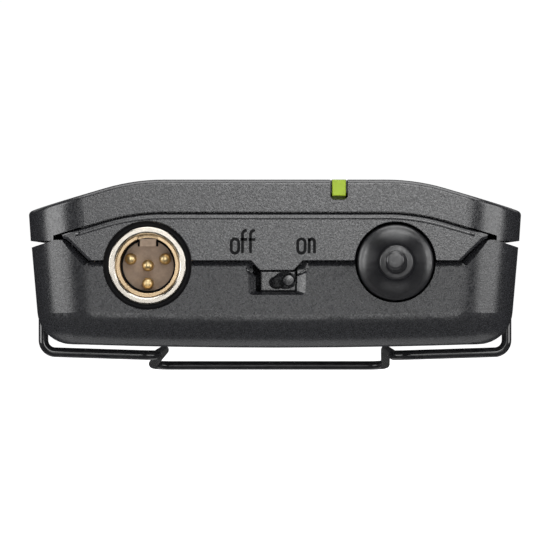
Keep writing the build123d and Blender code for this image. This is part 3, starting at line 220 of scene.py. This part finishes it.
# ---------------------------------------------------------------- material helpers
class Shader:
    """A node material with a few short ways to add procedural detail."""

    def __init__(self, name, color, rough, metallic=0.0, **sockets):
        self.mat = bpy.data.materials.new(name)
        self.mat.use_nodes = True
        self.tree = self.mat.node_tree
        self.bsdf = next(n for n in self.tree.nodes if n.type == "BSDF_PRINCIPLED")
        self.color = color
        self.set("Base Color", (*color, 1))
        self.set("Roughness", rough)
        self.set("Metallic", metallic)
        for key, value in sockets.items():
            self.set(key.replace("_", " "), value)
        self.place = self.node("ShaderNodeTexCoord").outputs["Object"]
        self.normal = None

    def node(self, kind, **settings):
        made = self.tree.nodes.new(kind)
        for key, value in settings.items():
            setattr(made, key, value)
        return made

    def link(self, a, b):
        self.tree.links.new(a, b)

    def set(self, socket, value):
        self.bsdf.inputs[socket].default_value = value

    def noise(self, scale, detail=2.0, roughness=0.5, stretch=None):
        """Noise in the object's own space; scale counts features per metre."""
        made = self.node("ShaderNodeTexNoise")
        made.inputs["Scale"].default_value = scale
        made.inputs["Detail"].default_value = detail
        made.inputs["Roughness"].default_value = roughness
        source = self.place
        if stretch:
            mapping = self.node("ShaderNodeMapping")
            mapping.inputs["Scale"].default_value = stretch
            self.link(source, mapping.inputs["Vector"])
            source = mapping.outputs["Vector"]
        self.link(source, made.inputs["Vector"])
        return made.outputs["Fac"]

    def cells(self, scale):
        """Cell pattern in the object's own space."""
        made = self.node("ShaderNodeTexVoronoi")
        made.inputs["Scale"].default_value = scale
        self.link(self.place, made.inputs["Vector"])
        return made.outputs["Distance"]

    def spread(self, value, low, high, from_low=0.3, from_high=0.7):
        """Map a pattern to a range of numbers."""
        made = self.node("ShaderNodeMapRange")
        made.inputs["From Min"].default_value = from_low
        made.inputs["From Max"].default_value = from_high
        made.inputs["To Min"].default_value = low
        made.inputs["To Max"].default_value = high
        self.link(value, made.inputs["Value"])
        return made.outputs["Result"]

    def bump(self, value, distance):
        """Add relief; distance is its height in metres."""
        made = self.node("ShaderNodeBump")
        made.inputs["Distance"].default_value = distance
        self.link(value, made.inputs["Height"])
        if self.normal is not None:
            self.link(self.normal, made.inputs["Normal"])
        self.normal = made.outputs["Normal"]
        self.link(self.normal, self.bsdf.inputs["Normal"])
        return self

    def vary_color(self, value, other, from_low=0.35, from_high=0.65):
        """Blend the base colour towards another by a pattern."""
        made = self.node("ShaderNodeMix", data_type="RGBA")
        made.inputs["A"].default_value = (*self.color, 1)
        made.inputs["B"].default_value = (*other, 1)
        self.link(self.spread(value, 0, 1, from_low, from_high), made.inputs["Factor"])
        self.link(made.outputs["Result"], self.bsdf.inputs["Base Color"])
        return self

    def dull_edges(self, gloss):
        """Let the texture's lumps hide the gloss at glancing angles."""
        facing = self.node("ShaderNodeLayerWeight").outputs["Facing"]
        gloss_left = self.spread(facing, gloss, gloss * 0.03, 0.3, 0.76)
        self.link(gloss_left, self.bsdf.inputs["Specular IOR Level"])

    def vary_rough(self, value, low, high, from_low=0.35, from_high=0.65):
        """Vary the roughness by a pattern."""
        self.link(self.spread(value, low, high, from_low, from_high), self.bsdf.inputs["Roughness"])
        return self


def moulded(name, color, rough, grain=2600, relief=0.012, tint=1.25, gloss=0.5, **sockets):
    """Spark-textured moulded plastic: fine lumps, uneven sheen and a faint colour drift."""
    made = Shader(name, color, rough, **sockets)
    made.dull_edges(gloss)
    lumps = made.noise(grain, 2.5, 0.55)
    made.vary_color(made.noise(grain * 0.55, 3.0, 0.6), tuple(c * tint for c in color))
    made.vary_rough(made.noise(grain * 0.8, 2.0), rough - 0.07, rough + 0.08)
    made.bump(made.noise(grain * 2.3, 2.0), relief * 0.35 * MM)
    made.bump(lumps, relief * MM)
    return made.mat


def nickel(name):
    """Bright warm nickel plating at the rim. Further down the bore the colour turns darker and tan: painted
    shade and painted warm reflection inside the recess.
    """
    made = Shader(name, (0.52, 0.485, 0.43), 0.2, metallic=1.0)
    split = made.node("ShaderNodeSeparateXYZ")
    made.link(made.place, split.inputs["Vector"])
    # painted shade and warm reflection: the colour darkens to tan from 0.2 mm into the bore
    made.vary_color(split.outputs["Y"], (0.47, 0.35, 0.215), END_Y + 0.2 * MM, END_Y + 0.6 * MM)
    made.vary_rough(made.noise(900, 3.0), 0.19, 0.23)
    made.bump(made.noise(5000, 2.0), 0.00004 * MM)
    return made.mat


def metal(name, color, rough, grain=5000, relief=0.0006):
    """Plated metal with fine tool marks and uneven polish."""
    made = Shader(name, color, rough, metallic=1.0)
    made.vary_color(made.noise(grain * 0.08, 3.0), tuple(c * 0.86 for c in color))
    made.vary_rough(made.noise(grain * 0.3, 3.0), rough - 0.04, rough + 0.08)
    made.bump(made.noise(grain, 2.0), relief * MM)
    return made.mat


def circuit_board(name):
    """Green solder resist over copper tracks, with plated pads."""
    made = Shader(name, (0.012, 0.075, 0.03), 0.32, Coat_Weight=0.5, Coat_Roughness=0.15)
    brick = made.node("ShaderNodeTexBrick")
    brick.inputs["Scale"].default_value = 420
    brick.inputs["Mortar Size"].default_value = 0.06
    brick.inputs["Color1"].default_value = (0.012, 0.075, 0.03, 1)
    brick.inputs["Color2"].default_value = (0.02, 0.115, 0.045, 1)
    brick.inputs["Mortar"].default_value = (0.008, 0.05, 0.02, 1)
    made.link(made.place, brick.inputs["Vector"])
    made.link(brick.outputs["Color"], made.bsdf.inputs["Base Color"])
    made.bump(brick.outputs["Fac"], 0.01 * MM)
    made.bump(made.noise(3000), 0.002 * MM)
    return made.mat


def cell_wrap(name, box, nub_first):
    """Plain sleeve with a coloured shoulder band, bare metal at both ends, split by depth along Y."""
    low, high = box[0].y, box[1].y
    length = high - low
    made = Shader(name, (0.02, 0.11, 0.17), 0.28, Coat_Weight=0.6, Coat_Roughness=0.08)
    split = made.node("ShaderNodeSeparateXYZ")
    made.link(made.place, split.inputs["Vector"])
    from_low, from_high = (low, high) if nub_first else (high, low)
    along = made.spread(split.outputs["Y"], 0, 1, from_low, from_high)
    ramp = made.node("ShaderNodeValToRGB")
    ramp.color_ramp.interpolation = "CONSTANT"
    steel = (0.62, 0.62, 0.6, 1)
    bands = (
        (0.0, steel), (2.0 * MM / length, (0.55, 0.36, 0.08, 1)), (0.22, (0.015, 0.016, 0.018, 1)),
        (0.95, (0.55, 0.36, 0.08, 1)), (1 - 0.8 * MM / length, steel),
    )
    for index, (position, color) in enumerate(bands):
        stop = ramp.color_ramp.elements[0] if index == 0 else ramp.color_ramp.elements.new(position)
        stop.position = position
        stop.color = color
    ramp.color_ramp.elements.remove(ramp.color_ramp.elements[-1])
    made.link(along, ramp.inputs["Fac"])
    made.link(ramp.outputs["Color"], made.bsdf.inputs["Base Color"])
    made.vary_rough(made.noise(900, 3.0), 0.22, 0.36)
    made.bump(made.noise(1400, 2.0, stretch=(1, 0.2, 1)), 0.004 * MM)
    return made.mat


def glow(name, color, strength, rough):
    """Tinted light pipe with light inside it and a faintly frosted end."""
    made = Shader(name, color, rough, Specular_IOR_Level=0.3)
    made.set("Emission Color", (*color, 1))
    made.set("Emission Strength", strength)
    made.vary_color(made.noise(700, 2.0), tuple(min(1.0, c * 1.25) for c in color))
    made.vary_rough(made.noise(2500), rough, rough + 0.12)
    made.bump(made.noise(3500), 0.0015 * MM)
    return made.mat


def foam(name):
    """Closed-cell foam: open pits over a soft dark ground."""
    made = Shader(name, (0.022, 0.022, 0.023), 0.92)
    pits = made.cells(1500)
    made.vary_color(pits, (0.045, 0.045, 0.047), 0.1, 0.6)
    made.bump(pits, 0.09 * MM)
    made.bump(made.noise(2600), 0.03 * MM)
    return made.mat


def window(name):
    """Smoked clear plastic over the display."""
    made = Shader(name, (0.35, 0.36, 0.38), 0.06, Transmission_Weight=0.9, IOR=1.49)
    made.vary_rough(made.noise(600, 2.0), 0.04, 0.1)
    made.bump(made.noise(1500), 0.0004 * MM)
    return made.mat


def coated_wire(name):
    """Gloss black powder coat on wire: slight orange peel and rubbed patches."""
    made = Shader(name, (0.006, 0.006, 0.007), 0.14, Coat_Weight=0.6, Coat_Roughness=0.06)
    made.vary_rough(made.noise(260, 3.0), 0.1, 0.24)
    made.vary_color(made.noise(900, 3.0), (0.012, 0.012, 0.013))
    made.bump(made.noise(1300, 1.0), 0.004 * MM)
    return made.mat


def make_materials():
    """Every material by short name."""
    left_cell, right_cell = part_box("battery_left"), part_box("battery_right")
    return {
        "body": moulded("moulded_body", BODY, 0.26, grain=4300, relief=0.012, tint=1.6, gloss=1.0),
        "legend": moulded("legend_face", (0.003, 0.003, 0.0035), 0.5, grain=4000, relief=0.004,
                          gloss=0.12),
        "black": moulded("black_plastic", (0.0035, 0.0035, 0.004), 0.5, grain=3600, relief=0.005,
                         gloss=0.1),
        "lip": moulded("lip_plastic", BODY, 0.16, grain=4000, relief=0.001, gloss=1.0,
                       Coat_Weight=1.0, Coat_Roughness=0.15),
        "roll": moulded("rolled_edge", BODY, 0.24, grain=4600, relief=0.006, gloss=1.0),
        "switch": moulded("switch_plastic", (0.01, 0.01, 0.011), 0.24, grain=3800, relief=0.003,
                          gloss=1.0),
        "nickel": nickel("connector_nickel"),
        "steel": metal("spring_steel", (0.62, 0.62, 0.6), 0.24),
        "tin": metal("tinned_can", (0.66, 0.66, 0.64), 0.34, grain=2200, relief=0.003),
        "screw": metal("dark_screw", (0.2, 0.2, 0.205), 0.3),
        "gold": metal("gold_contact", (0.95, 0.74, 0.4), 0.42, grain=6000, relief=0.0001),
        "insulator": moulded("insulator", (0.3, 0.215, 0.15), 0.45, grain=3200, relief=0.006),
        "lead": moulded("lead_sleeve", (0.3, 0.02, 0.018), 0.4, grain=2500, relief=0.004),
        "pipe": glow("light_pipe", (0.19, 0.267, 0.014), 0.05, 0.3),
        "lamp": glow("lamp_lens", (0.55, 0.85, 0.25), 1.2, 0.12),
        "rubber": moulded("antenna_rubber", (0.008, 0.008, 0.009), 0.36, grain=3400, relief=0.007,
                          gloss=0.95),
        "board": circuit_board("circuit_board"),
        "chip": moulded("component_body", (0.012, 0.012, 0.013), 0.5, grain=4500, relief=0.003),
        "button": moulded("button_rubber", (0.16, 0.165, 0.17), 0.55, grain=3000, relief=0.006),
        "ivory": moulded("trimmer_rotor", (0.62, 0.56, 0.42), 0.4, grain=3000, relief=0.003),
        "display": moulded("display_face", (0.01, 0.01, 0.011), 0.25, grain=4000, relief=0.001),
        "segment": glow("display_segment", (0.75, 0.08, 0.03), 0.9, 0.3),
        "foam": foam("door_foam"),
        "window": window("display_window"),
        "wire": coated_wire("clip_wire"),
        "cell_left": cell_wrap("cell_sleeve_left", left_cell, True),
        "cell_right": cell_wrap("cell_sleeve_right", right_cell, False),
    }


MATERIALS = make_materials()
FINISH = {
    "body": ("rear_housing", "front_bezel", "battery_door", "end_trim_panel", "latch_left", "latch_right"),
    "black": ("connector_surround", "slide_switch_stem", "slide_switch_body", "control_deck", "clip_bushes"),
    "switch": ("power_slider",),
    "nickel": ("connector_shell", "connector_nut"),
    "gold": ("connector_pins", "antenna_ferrule"),
    "insulator": ("connector_insulator",),
    "lead": ("connector_leads",),
    "pipe": ("led_light_pipe",),
    "lamp": ("power_led",),
    "rubber": ("antenna_boot", "antenna_whip"),
    "steel": ("antenna_core", "antenna_contact", "battery_contacts", "battery_springs", "door_hinge_pin"),
    "board": ("main_pcb", "control_board"),
    "tin": ("rf_shield",),
    "chip": ("smd_components", "tact_switches", "gain_trimmer"),
    "button": ("group_button", "channel_button"),
    "ivory": ("gain_rotor",),
    "display": ("channel_display",),
    "window": ("display_window",),
    "cell_left": ("battery_left",),
    "cell_right": ("battery_right",),
    "foam": ("door_foam_pad",),
    "wire": ("belt_clip",),
    "screw": ("housing_screws", "pcb_screws", "deck_screws"),
}


def dress_cad_nodes():
    """Give each carried-over CAD node its material, and its moulded edges by modifiers."""
    for finish, names in FINISH.items():
        for name in names:
            piece = NODES[name]
            piece.data.materials.clear()
            piece.data.materials.append(MATERIALS[finish])
            width = EDGE_RADIUS.get(name)
            if width:
                soften(piece, width * MM)


def soften(piece, width):
    """Join the CAD faces and round the sharp edges between them."""
    weld = piece.modifiers.new("weld", "WELD")
    weld.merge_threshold = 0.002 * MM
    bevel = piece.modifiers.new("edges", "BEVEL")
    bevel.width = width
    bevel.segments = 2
    bevel.limit_method = "ANGLE"
    bevel.angle_limit = math.radians(32)
    bevel.harden_normals = True
    bevel.use_clamp_overlap = True


# ---------------------------------------------------------------- mesh helpers
def new_piece(name, bm, material, body, smooth=True):
    """Turn a bmesh into a piece that rides on a CAD body."""
    mesh = bpy.data.meshes.new(name)
    bmesh.ops.recalc_face_normals(bm, faces=bm.faces)
    bm.to_mesh(mesh)
    bm.free()
    for face in mesh.polygons:
        face.use_smooth = smooth
    piece = bpy.data.objects.new(name, mesh)
    bpy.context.scene.collection.objects.link(piece)
    mesh.materials.append(MATERIALS[material])
    if body:
        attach(piece, body)
    return piece


def stroke(bm, points, half_width, low_y, high_y):
    """Raised stroke along (x, z) points, from high_y out to low_y, mitred at its bends."""
    count = len(points)
    closed = (Vector(points[0]) - Vector(points[-1])).length < 1e-7
    if closed:
        points = points[:-1]
        count -= 1
    sides = []
    for index, point in enumerate(points):
        before = Vector(points[index - 1]) if index or closed else None
        after = Vector(points[(index + 1) % count]) if index < count - 1 or closed else None
        here = Vector(point)
        directions = []
        if before is not None:
            directions.append((here - before).normalized())
        if after is not None:
            directions.append((after - here).normalized())
        along = sum(directions, Vector((0, 0))).normalized()
        across = Vector((-along.y, along.x))
        spread = half_width / max(0.5, across.dot(Vector((-directions[0].y, directions[0].x))))
        sides.append((here + across * spread, here - across * spread))
    rows = []
    for left, right in sides:
        rows.append([
            bm.verts.new((left.x, high_y, left.y)), bm.verts.new((left.x, low_y, left.y)),
            bm.verts.new((right.x, low_y, right.y)), bm.verts.new((right.x, high_y, right.y)),
        ])
    spans = count if closed else count - 1
    for index in range(spans):
        here, there = rows[index], rows[(index + 1) % count]
        for corner in range(4):
            following = (corner + 1) % 4
            bm.faces.new((here[corner], here[following], there[following], there[corner]))
    if not closed:
        bm.faces.new(rows[0])
        bm.faces.new(rows[-1])


def arc(center, radius_x, radius_z, start, end, steps=10):
    """Points of an elliptical arc, angles in degrees."""
    points = []
    for step in range(steps + 1):
        angle = math.radians(start + (end - start) * step / steps)
        points.append((center[0] + radius_x * math.cos(angle), center[1] + radius_z * math.sin(angle)))
    return points


def letter_o(x, z, width, height):
    """Narrow round letter as one closed line."""
    half, radius = width / 2, width / 2
    top = arc((x + half, z + height - radius), radius, radius, 0, 180)
    bottom = arc((x + half, z + radius), radius, radius, 180, 360)
    line = top + bottom
    return [line + [line[0]]]


def letter_f(x, z, width, height):
    """Hooked stem and a bar."""
    hook = width * 0.62
    stem = x + width * 0.3
    curve = arc((stem + hook, z + height - hook), hook, hook, 180, 90)
    bar_z = z + height * 0.6
    return [[(stem, z)] + curve, [(x, bar_z), (x + width, bar_z)]]


def letter_n(x, z, width, height):
    """Stem and arch."""
    half = width / 2
    arch = arc((x + half, z + height - half), half, half, 180, 0)
    return [[(x, z)] + arch + [(x + width, z)], [(x, z + height - half), (x, z + height + 0.1 * MM)]]


def legend(name, strokes):
    """One word in dark raised letters with softened edges."""
    bm = bmesh.new()
    for points in strokes:
        stroke(bm, points, STROKE_HALF * MM, TRIM_Y - STROKE_STANDS * MM, TRIM_Y + STROKE_STANDS * MM)
    lettering = new_piece(name, bm, "legend", "housing", smooth=False)
    rounding = lettering.modifiers.new("edges", "BEVEL")
    rounding.width = 0.03 * MM
    rounding.segments = 2
    rounding.limit_method = "ANGLE"


def make_legends():
    """The words for the two switch positions, either side of the slider."""
    low, height, tall = LETTER_LOW * MM, LETTER_HEIGHT * MM, LETTER_TALL * MM
    off = letter_o(OFF_X[0] * MM, low, ROUND_WIDTH * MM, height)
    for x in OFF_X[1:]:
        off += letter_f(x * MM, low, HOOK_WIDTH * MM, tall)
    legend("legend_off", off)
    on = letter_o(ON_X[0] * MM, low, ROUND_WIDTH * MM, height)
    on += letter_n(ON_X[1] * MM, low, ARCH_WIDTH * MM, height)
    legend("legend_on", on)


def skin_loops(bm, loops):
    """Close the skin over loops of as many vertices each, and cap both its ends."""
    count = len(loops[0])
    for first, second in zip(loops, loops[1:]):
        for step in range(count):
            following = (step + 1) % count
            bm.faces.new((first[step], first[following], second[following], second[step]))
    bm.faces.new(loops[0])
    bm.faces.new(loops[-1])


def lathe(bm, rings, sides=96):
    """Skin over rings given as (centre, radius), all square to Y."""
    loops = []
    for center, radius in rings:
        loop = []
        for step in range(sides):
            angle = 2 * math.pi * step / sides
            loop.append(bm.verts.new((
                center[0] + radius * math.cos(angle), center[1], center[2] + radius * math.sin(angle),
            )))
        loops.append(loop)
    skin_loops(bm, loops)


def make_antenna():
    """One moulded rubber skin from the flared base to the tip cap, bending at its root."""
    pivot = Vector(JOINTS["antenna_flex"]["pos_m"])
    low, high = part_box("antenna_whip")
    tip = Vector(((low.x + WHIP_TIP_R * MM), low.y, pivot.z + 0.08 * MM))
    lean = (tip - pivot) / (tip.y - pivot.y)

    def center(y):
        if y > pivot.y:
            return Vector((pivot.x, y, pivot.z))
        return pivot + lean * (y - pivot.y)

    rings = []
    for radius, depth in BASE_PROFILE:
        y = END_Y + depth * MM
        rings.append((center(y), radius * MM))
    whip = tip.y - pivot.y
    for step in range(1, WHIP_STEPS):
        part = step / WHIP_STEPS
        radius = WHIP_SKIN_R + (WHIP_TIP_R - WHIP_SKIN_R) * part
        rings.append((center(pivot.y + whip * part * TAPER_END), radius * MM))
    for radius, back in TIP_PROFILE:
        rings.append((center(tip.y + back * MM), radius * MM))
    bm = bmesh.new()
    lathe(bm, rings)
    skin = new_piece("antenna_skin", bm, "rubber", None)
    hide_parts("antenna_boot", "antenna_whip")
    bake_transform(skin)


def block(bm, low, high):
    """Closed box between two corners, in millimetres."""
    x0, y0, z0 = (v * MM for v in low)
    x1, y1, z1 = (v * MM for v in high)
    corners = [bm.verts.new(p) for p in (
        (x0, y0, z0), (x1, y0, z0), (x1, y1, z0), (x0, y1, z0),
        (x0, y0, z1), (x1, y0, z1), (x1, y1, z1), (x0, y1, z1),
    )]
    for face in ((0, 1, 2, 3), (4, 5, 6, 7), (0, 1, 5, 4), (1, 2, 6, 5), (2, 3, 7, 6), (3, 0, 4, 7)):
        bm.faces.new([corners[i] for i in face])


def reach_from(x, z, center, reach):
    """Distance of (x, z) from a centre, counted in reaches along x and z."""
    return math.hypot((x - center[0]) / reach[0], (z - center[1]) / reach[1])


def slider_height(x, z):
    """How far the slider's face stands out at (x, z): flat left end, scooped hollow, domed nub."""
    edge = min(x - SLIDER_X[0], SLIDER_X[1] - x, z - SLIDER_Z[0], SLIDER_Z[1] - z)
    height = -SLIDER_EDGE * max(0.0, 1 - edge / SLIDER_EDGE) ** 2
    dish = reach_from(x, z, HOLLOW_AT, HOLLOW_REACH)
    if dish < 1:
        height -= HOLLOW_DEPTH * (1 - dish**2) ** 0.8
    pit = reach_from(x, z, PIT_AT, PIT_REACH)
    if pit < 1:
        height = max(height - PIT_DEPTH * (1 - pit), PIT_FLOOR + PIT_SLOPE * (z - PIT_SLOPE_Z))
    nub = math.hypot(x - NUB_AT[0], z - NUB_AT[1]) / NUB_R
    if nub < 1:
        height = max(height, NUB_HEIGHT - 0.07 * nub**2 - 0.8 * max(0.0, nub - 0.7) ** 2 / 0.09)
    return height


def slider_grid(bm):
    """Rows of vertices over the slider's face."""
    columns, rows = SLIDER_GRID
    grid = []
    for row in range(rows + 1):
        z = SLIDER_Z[0] + (SLIDER_Z[1] - SLIDER_Z[0]) * row / rows
        line = []
        for column in range(columns + 1):
            x = SLIDER_X[0] + (SLIDER_X[1] - SLIDER_X[0]) * column / columns
            y = END_Y + (SLIDER_FACE_D - slider_height(x, z)) * MM
            line.append(bm.verts.new((x * MM, y, z * MM)))
        grid.append(line)
    return grid


def make_slider():
    """Thumb slider with its hollow and nub, standing on the carrier plate behind the wall."""
    bm = bmesh.new()
    grid = slider_grid(bm)
    for below, above in zip(grid, grid[1:]):
        for column in range(SLIDER_GRID[0]):
            bm.faces.new((below[column], below[column + 1], above[column + 1], above[column]))
    foot = grid[0][:-1]
    right = [line[-1] for line in grid[:-1]]
    head = grid[-1][:0:-1]
    left = [line[0] for line in grid[:0:-1]]
    rim = foot + right + head + left
    back = [bm.verts.new((v.co.x, END_Y + SLIDER_BACK_D * MM, v.co.z)) for v in rim]
    for index in range(len(rim)):
        following = (index + 1) % len(rim)
        bm.faces.new((rim[index], rim[following], back[following], back[index]))
    bm.faces.new(back)
    front, rear = (END_Y / MM + depth for depth in CARRIER_D)
    near, far = SLIDER_X[0] - CARRIER_MARGIN, SLIDER_X[1] + CARRIER_MARGIN
    low, middle, high = CARRIER_Z
    block(bm, (near, front, middle), (far, rear, high))
    block(bm, (near, front, low), (STEM_SLOT_X[0], rear, middle + CARRIER_LAP))
    block(bm, (STEM_SLOT_X[1], front, low), (far, rear, middle + CARRIER_LAP))
    slider = new_piece("slider_skin", bm, "switch", "power_switch")
    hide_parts("power_slider")


def bead(bm, points, radius):
    """Low rounded bead along (x, depth, z) points."""
    inward = Vector((0, 1, 0))
    path = [Vector((x * MM, END_Y + depth * MM, z * MM)) for x, depth, z in points]
    loops = []
    for index, here in enumerate(path):
        along = path[min(index + 1, len(path) - 1)] - path[max(index - 1, 0)]
        across = along.cross(inward).normalized()
        loop = []
        for step in range(BEAD_SIDES):
            angle = 2 * math.pi * step / BEAD_SIDES
            aside = across * math.cos(angle) * radius * MM
            inside = inward * math.sin(angle) * radius * BEAD_FLATNESS * MM
            loop.append(bm.verts.new(here + aside + inside))
        loops.append(loop)
    skin_loops(bm, loops)


def make_pocket_lip():
    """Rounded lip that moulding leaves round the foot and the upper corners of the switch pocket."""
    bm = bmesh.new()
    left, right = POCKET_X
    turn = POCKET_TURN
    left_turn = arc((left + turn, POCKET_LOW + turn), turn, turn, 180, 270)
    right_turn = arc((right - turn, POCKET_LOW + turn), turn, turn, 270, 360)
    foot = [(left, LIP_END_D, LIP_TOP_Z)]
    foot += [(x, LIP_FOOT_D, z) for x, z in left_turn + right_turn]
    foot += [(right, LIP_END_D, LIP_TOP_Z)]
    bead(bm, foot, LIP_FOOT_R)
    for side, edge, diagonal in zip((-1, 1), POCKET_X, LIP_DIAGONALS):
        points = [(edge - side * inset, depth, z) for inset, depth, z in diagonal]
        bead(bm, points, LIP_DIAGONAL_R)
    lip = new_piece("pocket_lip", bm, "lip", "housing")


def make_socket_shadow_ring():
    """Painted shadow: a dark ring in front of the insulator's rim, with two legs down the flanks of the
    keyway, standing for the shade there.
    """
    bm = bmesh.new()
    low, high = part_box("connector_shell")
    x = (low.x + high.x) / 2 / MM
    z = (low.z + high.z) / 2 / MM
    radius = THROAT_R - SHADOW_RING_R - SHADOW_RING_GAP
    rim = arc((x, z), radius, radius, 110, 430, 48)
    bead(bm, [(u, RIM_D, w) for u, w in rim], SHADOW_RING_R)
    for side in (-1, 1):
        bead(bm, [(x + side * KEYWAY_FLANK, LEG_D, z + up) for up in LEG_HEIGHTS], SHADOW_RING_R)
    # the dark legend material paints the shade round the insulator's rim and keyway
    shadow_ring = new_piece("socket_shadow_ring", bm, "legend", "housing")


def top_line(x):
    """Height of the cover's top line at x: flat, rolled over, then a straight slope."""
    reach = max(0.0, abs(x) - COVER_FLAT)
    rolled = min(reach, COVER_ROLL_R * math.sin(COVER_SLOPE))
    fall = COVER_ROLL_R - math.sqrt(COVER_ROLL_R**2 - rolled**2) + (reach - rolled) * math.tan(COVER_SLOPE)
    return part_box("front_bezel")[1].z / MM - fall


def make_trim_roll():
    """Soft roll just under the trim panel's upper edge, following the cover's band."""
    bm = bmesh.new()
    depth = (TRIM_Y - END_Y) / MM + ROLL_SINK
    points = []
    for step in range(ROLL_STEPS + 1):
        x = -ROLL_HALF + 2 * ROLL_HALF * step / ROLL_STEPS
        points.append((x, depth, top_line(x) - ROLL_DROP))
    bead(bm, points, ROLL_R)
    roll = new_piece("trim_roll", bm, "roll", "housing")


def figure(bm, x, y, bottom, top):
    """Seven raised segments round (x, y), three across and two down each side."""
    half_bar = FIGURE_BAR / 2
    half_width = FIGURE_WIDTH / 2
    half_height = FIGURE_HEIGHT / 2
    for row in (-1, 0, 1):
        row_y = y + row * FIGURE_HEIGHT
        block(
            bm, (x - half_width + 0.3, row_y - half_bar, bottom),
            (x + half_width - 0.3, row_y + half_bar, top),
        )
    for row in (-0.5, 0.5):
        row_y = y + row * FIGURE_HEIGHT
        for side in (-1, 1):
            bar_x = x + side * FIGURE_WIDTH / 2
            block(
                bm, (bar_x - half_bar, row_y - half_height + 0.25, bottom),
                (bar_x + half_bar, row_y + half_height - 0.25, top),
            )


def make_display_digits():
    """Two seven-segment figures on the display's face, with every segment raised and lit."""
    low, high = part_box("channel_display")
    bottom, top = (high.z / MM + level for level in FIGURE_LEVELS)
    middle_x = (low.x + high.x) / 2 / MM
    middle_y = (low.y + high.y) / 2 / MM
    bm = bmesh.new()
    for x in (middle_x - FIGURE_OFFSET, middle_x + FIGURE_OFFSET):
        figure(bm, x, middle_y, bottom, top)
    segments = new_piece("display_segments", bm, "segment", "housing", smooth=False)


# ---------------------------------------------------------------- studio
def soft_box(name, azimuth, elevation, distance, size, radiance):
    """Soft box at these angles from the pack's end face, aimed at it, itself unseen."""
    data = bpy.data.lights.new(name, "AREA")
    data.shape = "RECTANGLE"
    data.size, data.size_y = size
    data.energy = radiance * math.pi * size[0] * size[1]
    lamp = bpy.data.objects.new(name, data)
    bpy.context.scene.collection.objects.link(lamp)
    turn, rise = math.radians(azimuth), math.radians(elevation)
    target = Vector((0, END_Y, EYE_HEIGHT))
    lamp.location = target + distance * Vector((
        math.sin(turn) * math.cos(rise), -math.cos(turn) * math.cos(rise), math.sin(rise),
    ))
    lamp.rotation_euler = (target - lamp.location).to_track_quat("-Z", "Y").to_euler()
    lamp.visible_camera = False


def make_world():
    """Plain white behind the pack, dim surroundings everywhere else."""
    scene = bpy.context.scene
    scene.view_settings.view_transform = "Standard"
    world = bpy.data.worlds.new("studio")
    world.use_nodes = True
    tree = world.node_tree
    backdrop = tree.nodes["Background"]
    backdrop.inputs["Color"].default_value = (1, 1, 1, 1)
    backdrop.inputs["Strength"].default_value = BACKDROP
    ambient = tree.nodes.new("ShaderNodeBackground")
    ambient.inputs["Color"].default_value = (1, 1, 1, 1)
    ambient.inputs["Strength"].default_value = AMBIENT
    mixed = tree.nodes.new("ShaderNodeMixShader")
    tree.links.new(tree.nodes.new("ShaderNodeLightPath").outputs["Is Camera Ray"], mixed.inputs["Fac"])
    tree.links.new(ambient.outputs["Background"], mixed.inputs[1])
    tree.links.new(backdrop.outputs["Background"], mixed.inputs[2])
    tree.links.new(mixed.outputs["Shader"], tree.nodes["World Output"].inputs["Surface"])
    scene.world = world


def make_floor():
    """Wide white floor, low enough under the pack for the clip to swing open above it."""
    bm = bmesh.new()
    square = ((-1, -1), (1, -1), (1, 1), (-1, 1))
    corners = [bm.verts.new((x * FLOOR_REACH, y * FLOOR_REACH, -FLOOR_DROP)) for x, y in square]
    bm.faces.new(corners)
    mesh = bpy.data.meshes.new("floor")
    bm.to_mesh(mesh)
    bm.free()
    floor = bpy.data.objects.new("floor", mesh)
    bpy.context.scene.collection.objects.link(floor)
    white = Shader("floor_white", (0.9, 0.9, 0.9), 0.6)
    white.set("Emission Color", (1, 1, 1, 1))
    white.set("Emission Strength", FLOOR_GLOW)
    white.vary_rough(white.noise(40), 0.55, 0.7)
    mesh.materials.append(white.mat)
    floor.visible_glossy = False
    floor.visible_shadow = False


make_camera()
dress_cad_nodes()
make_antenna()
make_legends()
make_slider()
make_pocket_lip()
make_trim_roll()
make_socket_shadow_ring()
make_display_digits()
make_world()
make_floor()
for box_name, box_settings in SOFT_BOXES.items():
    soft_box(box_name, *box_settings)
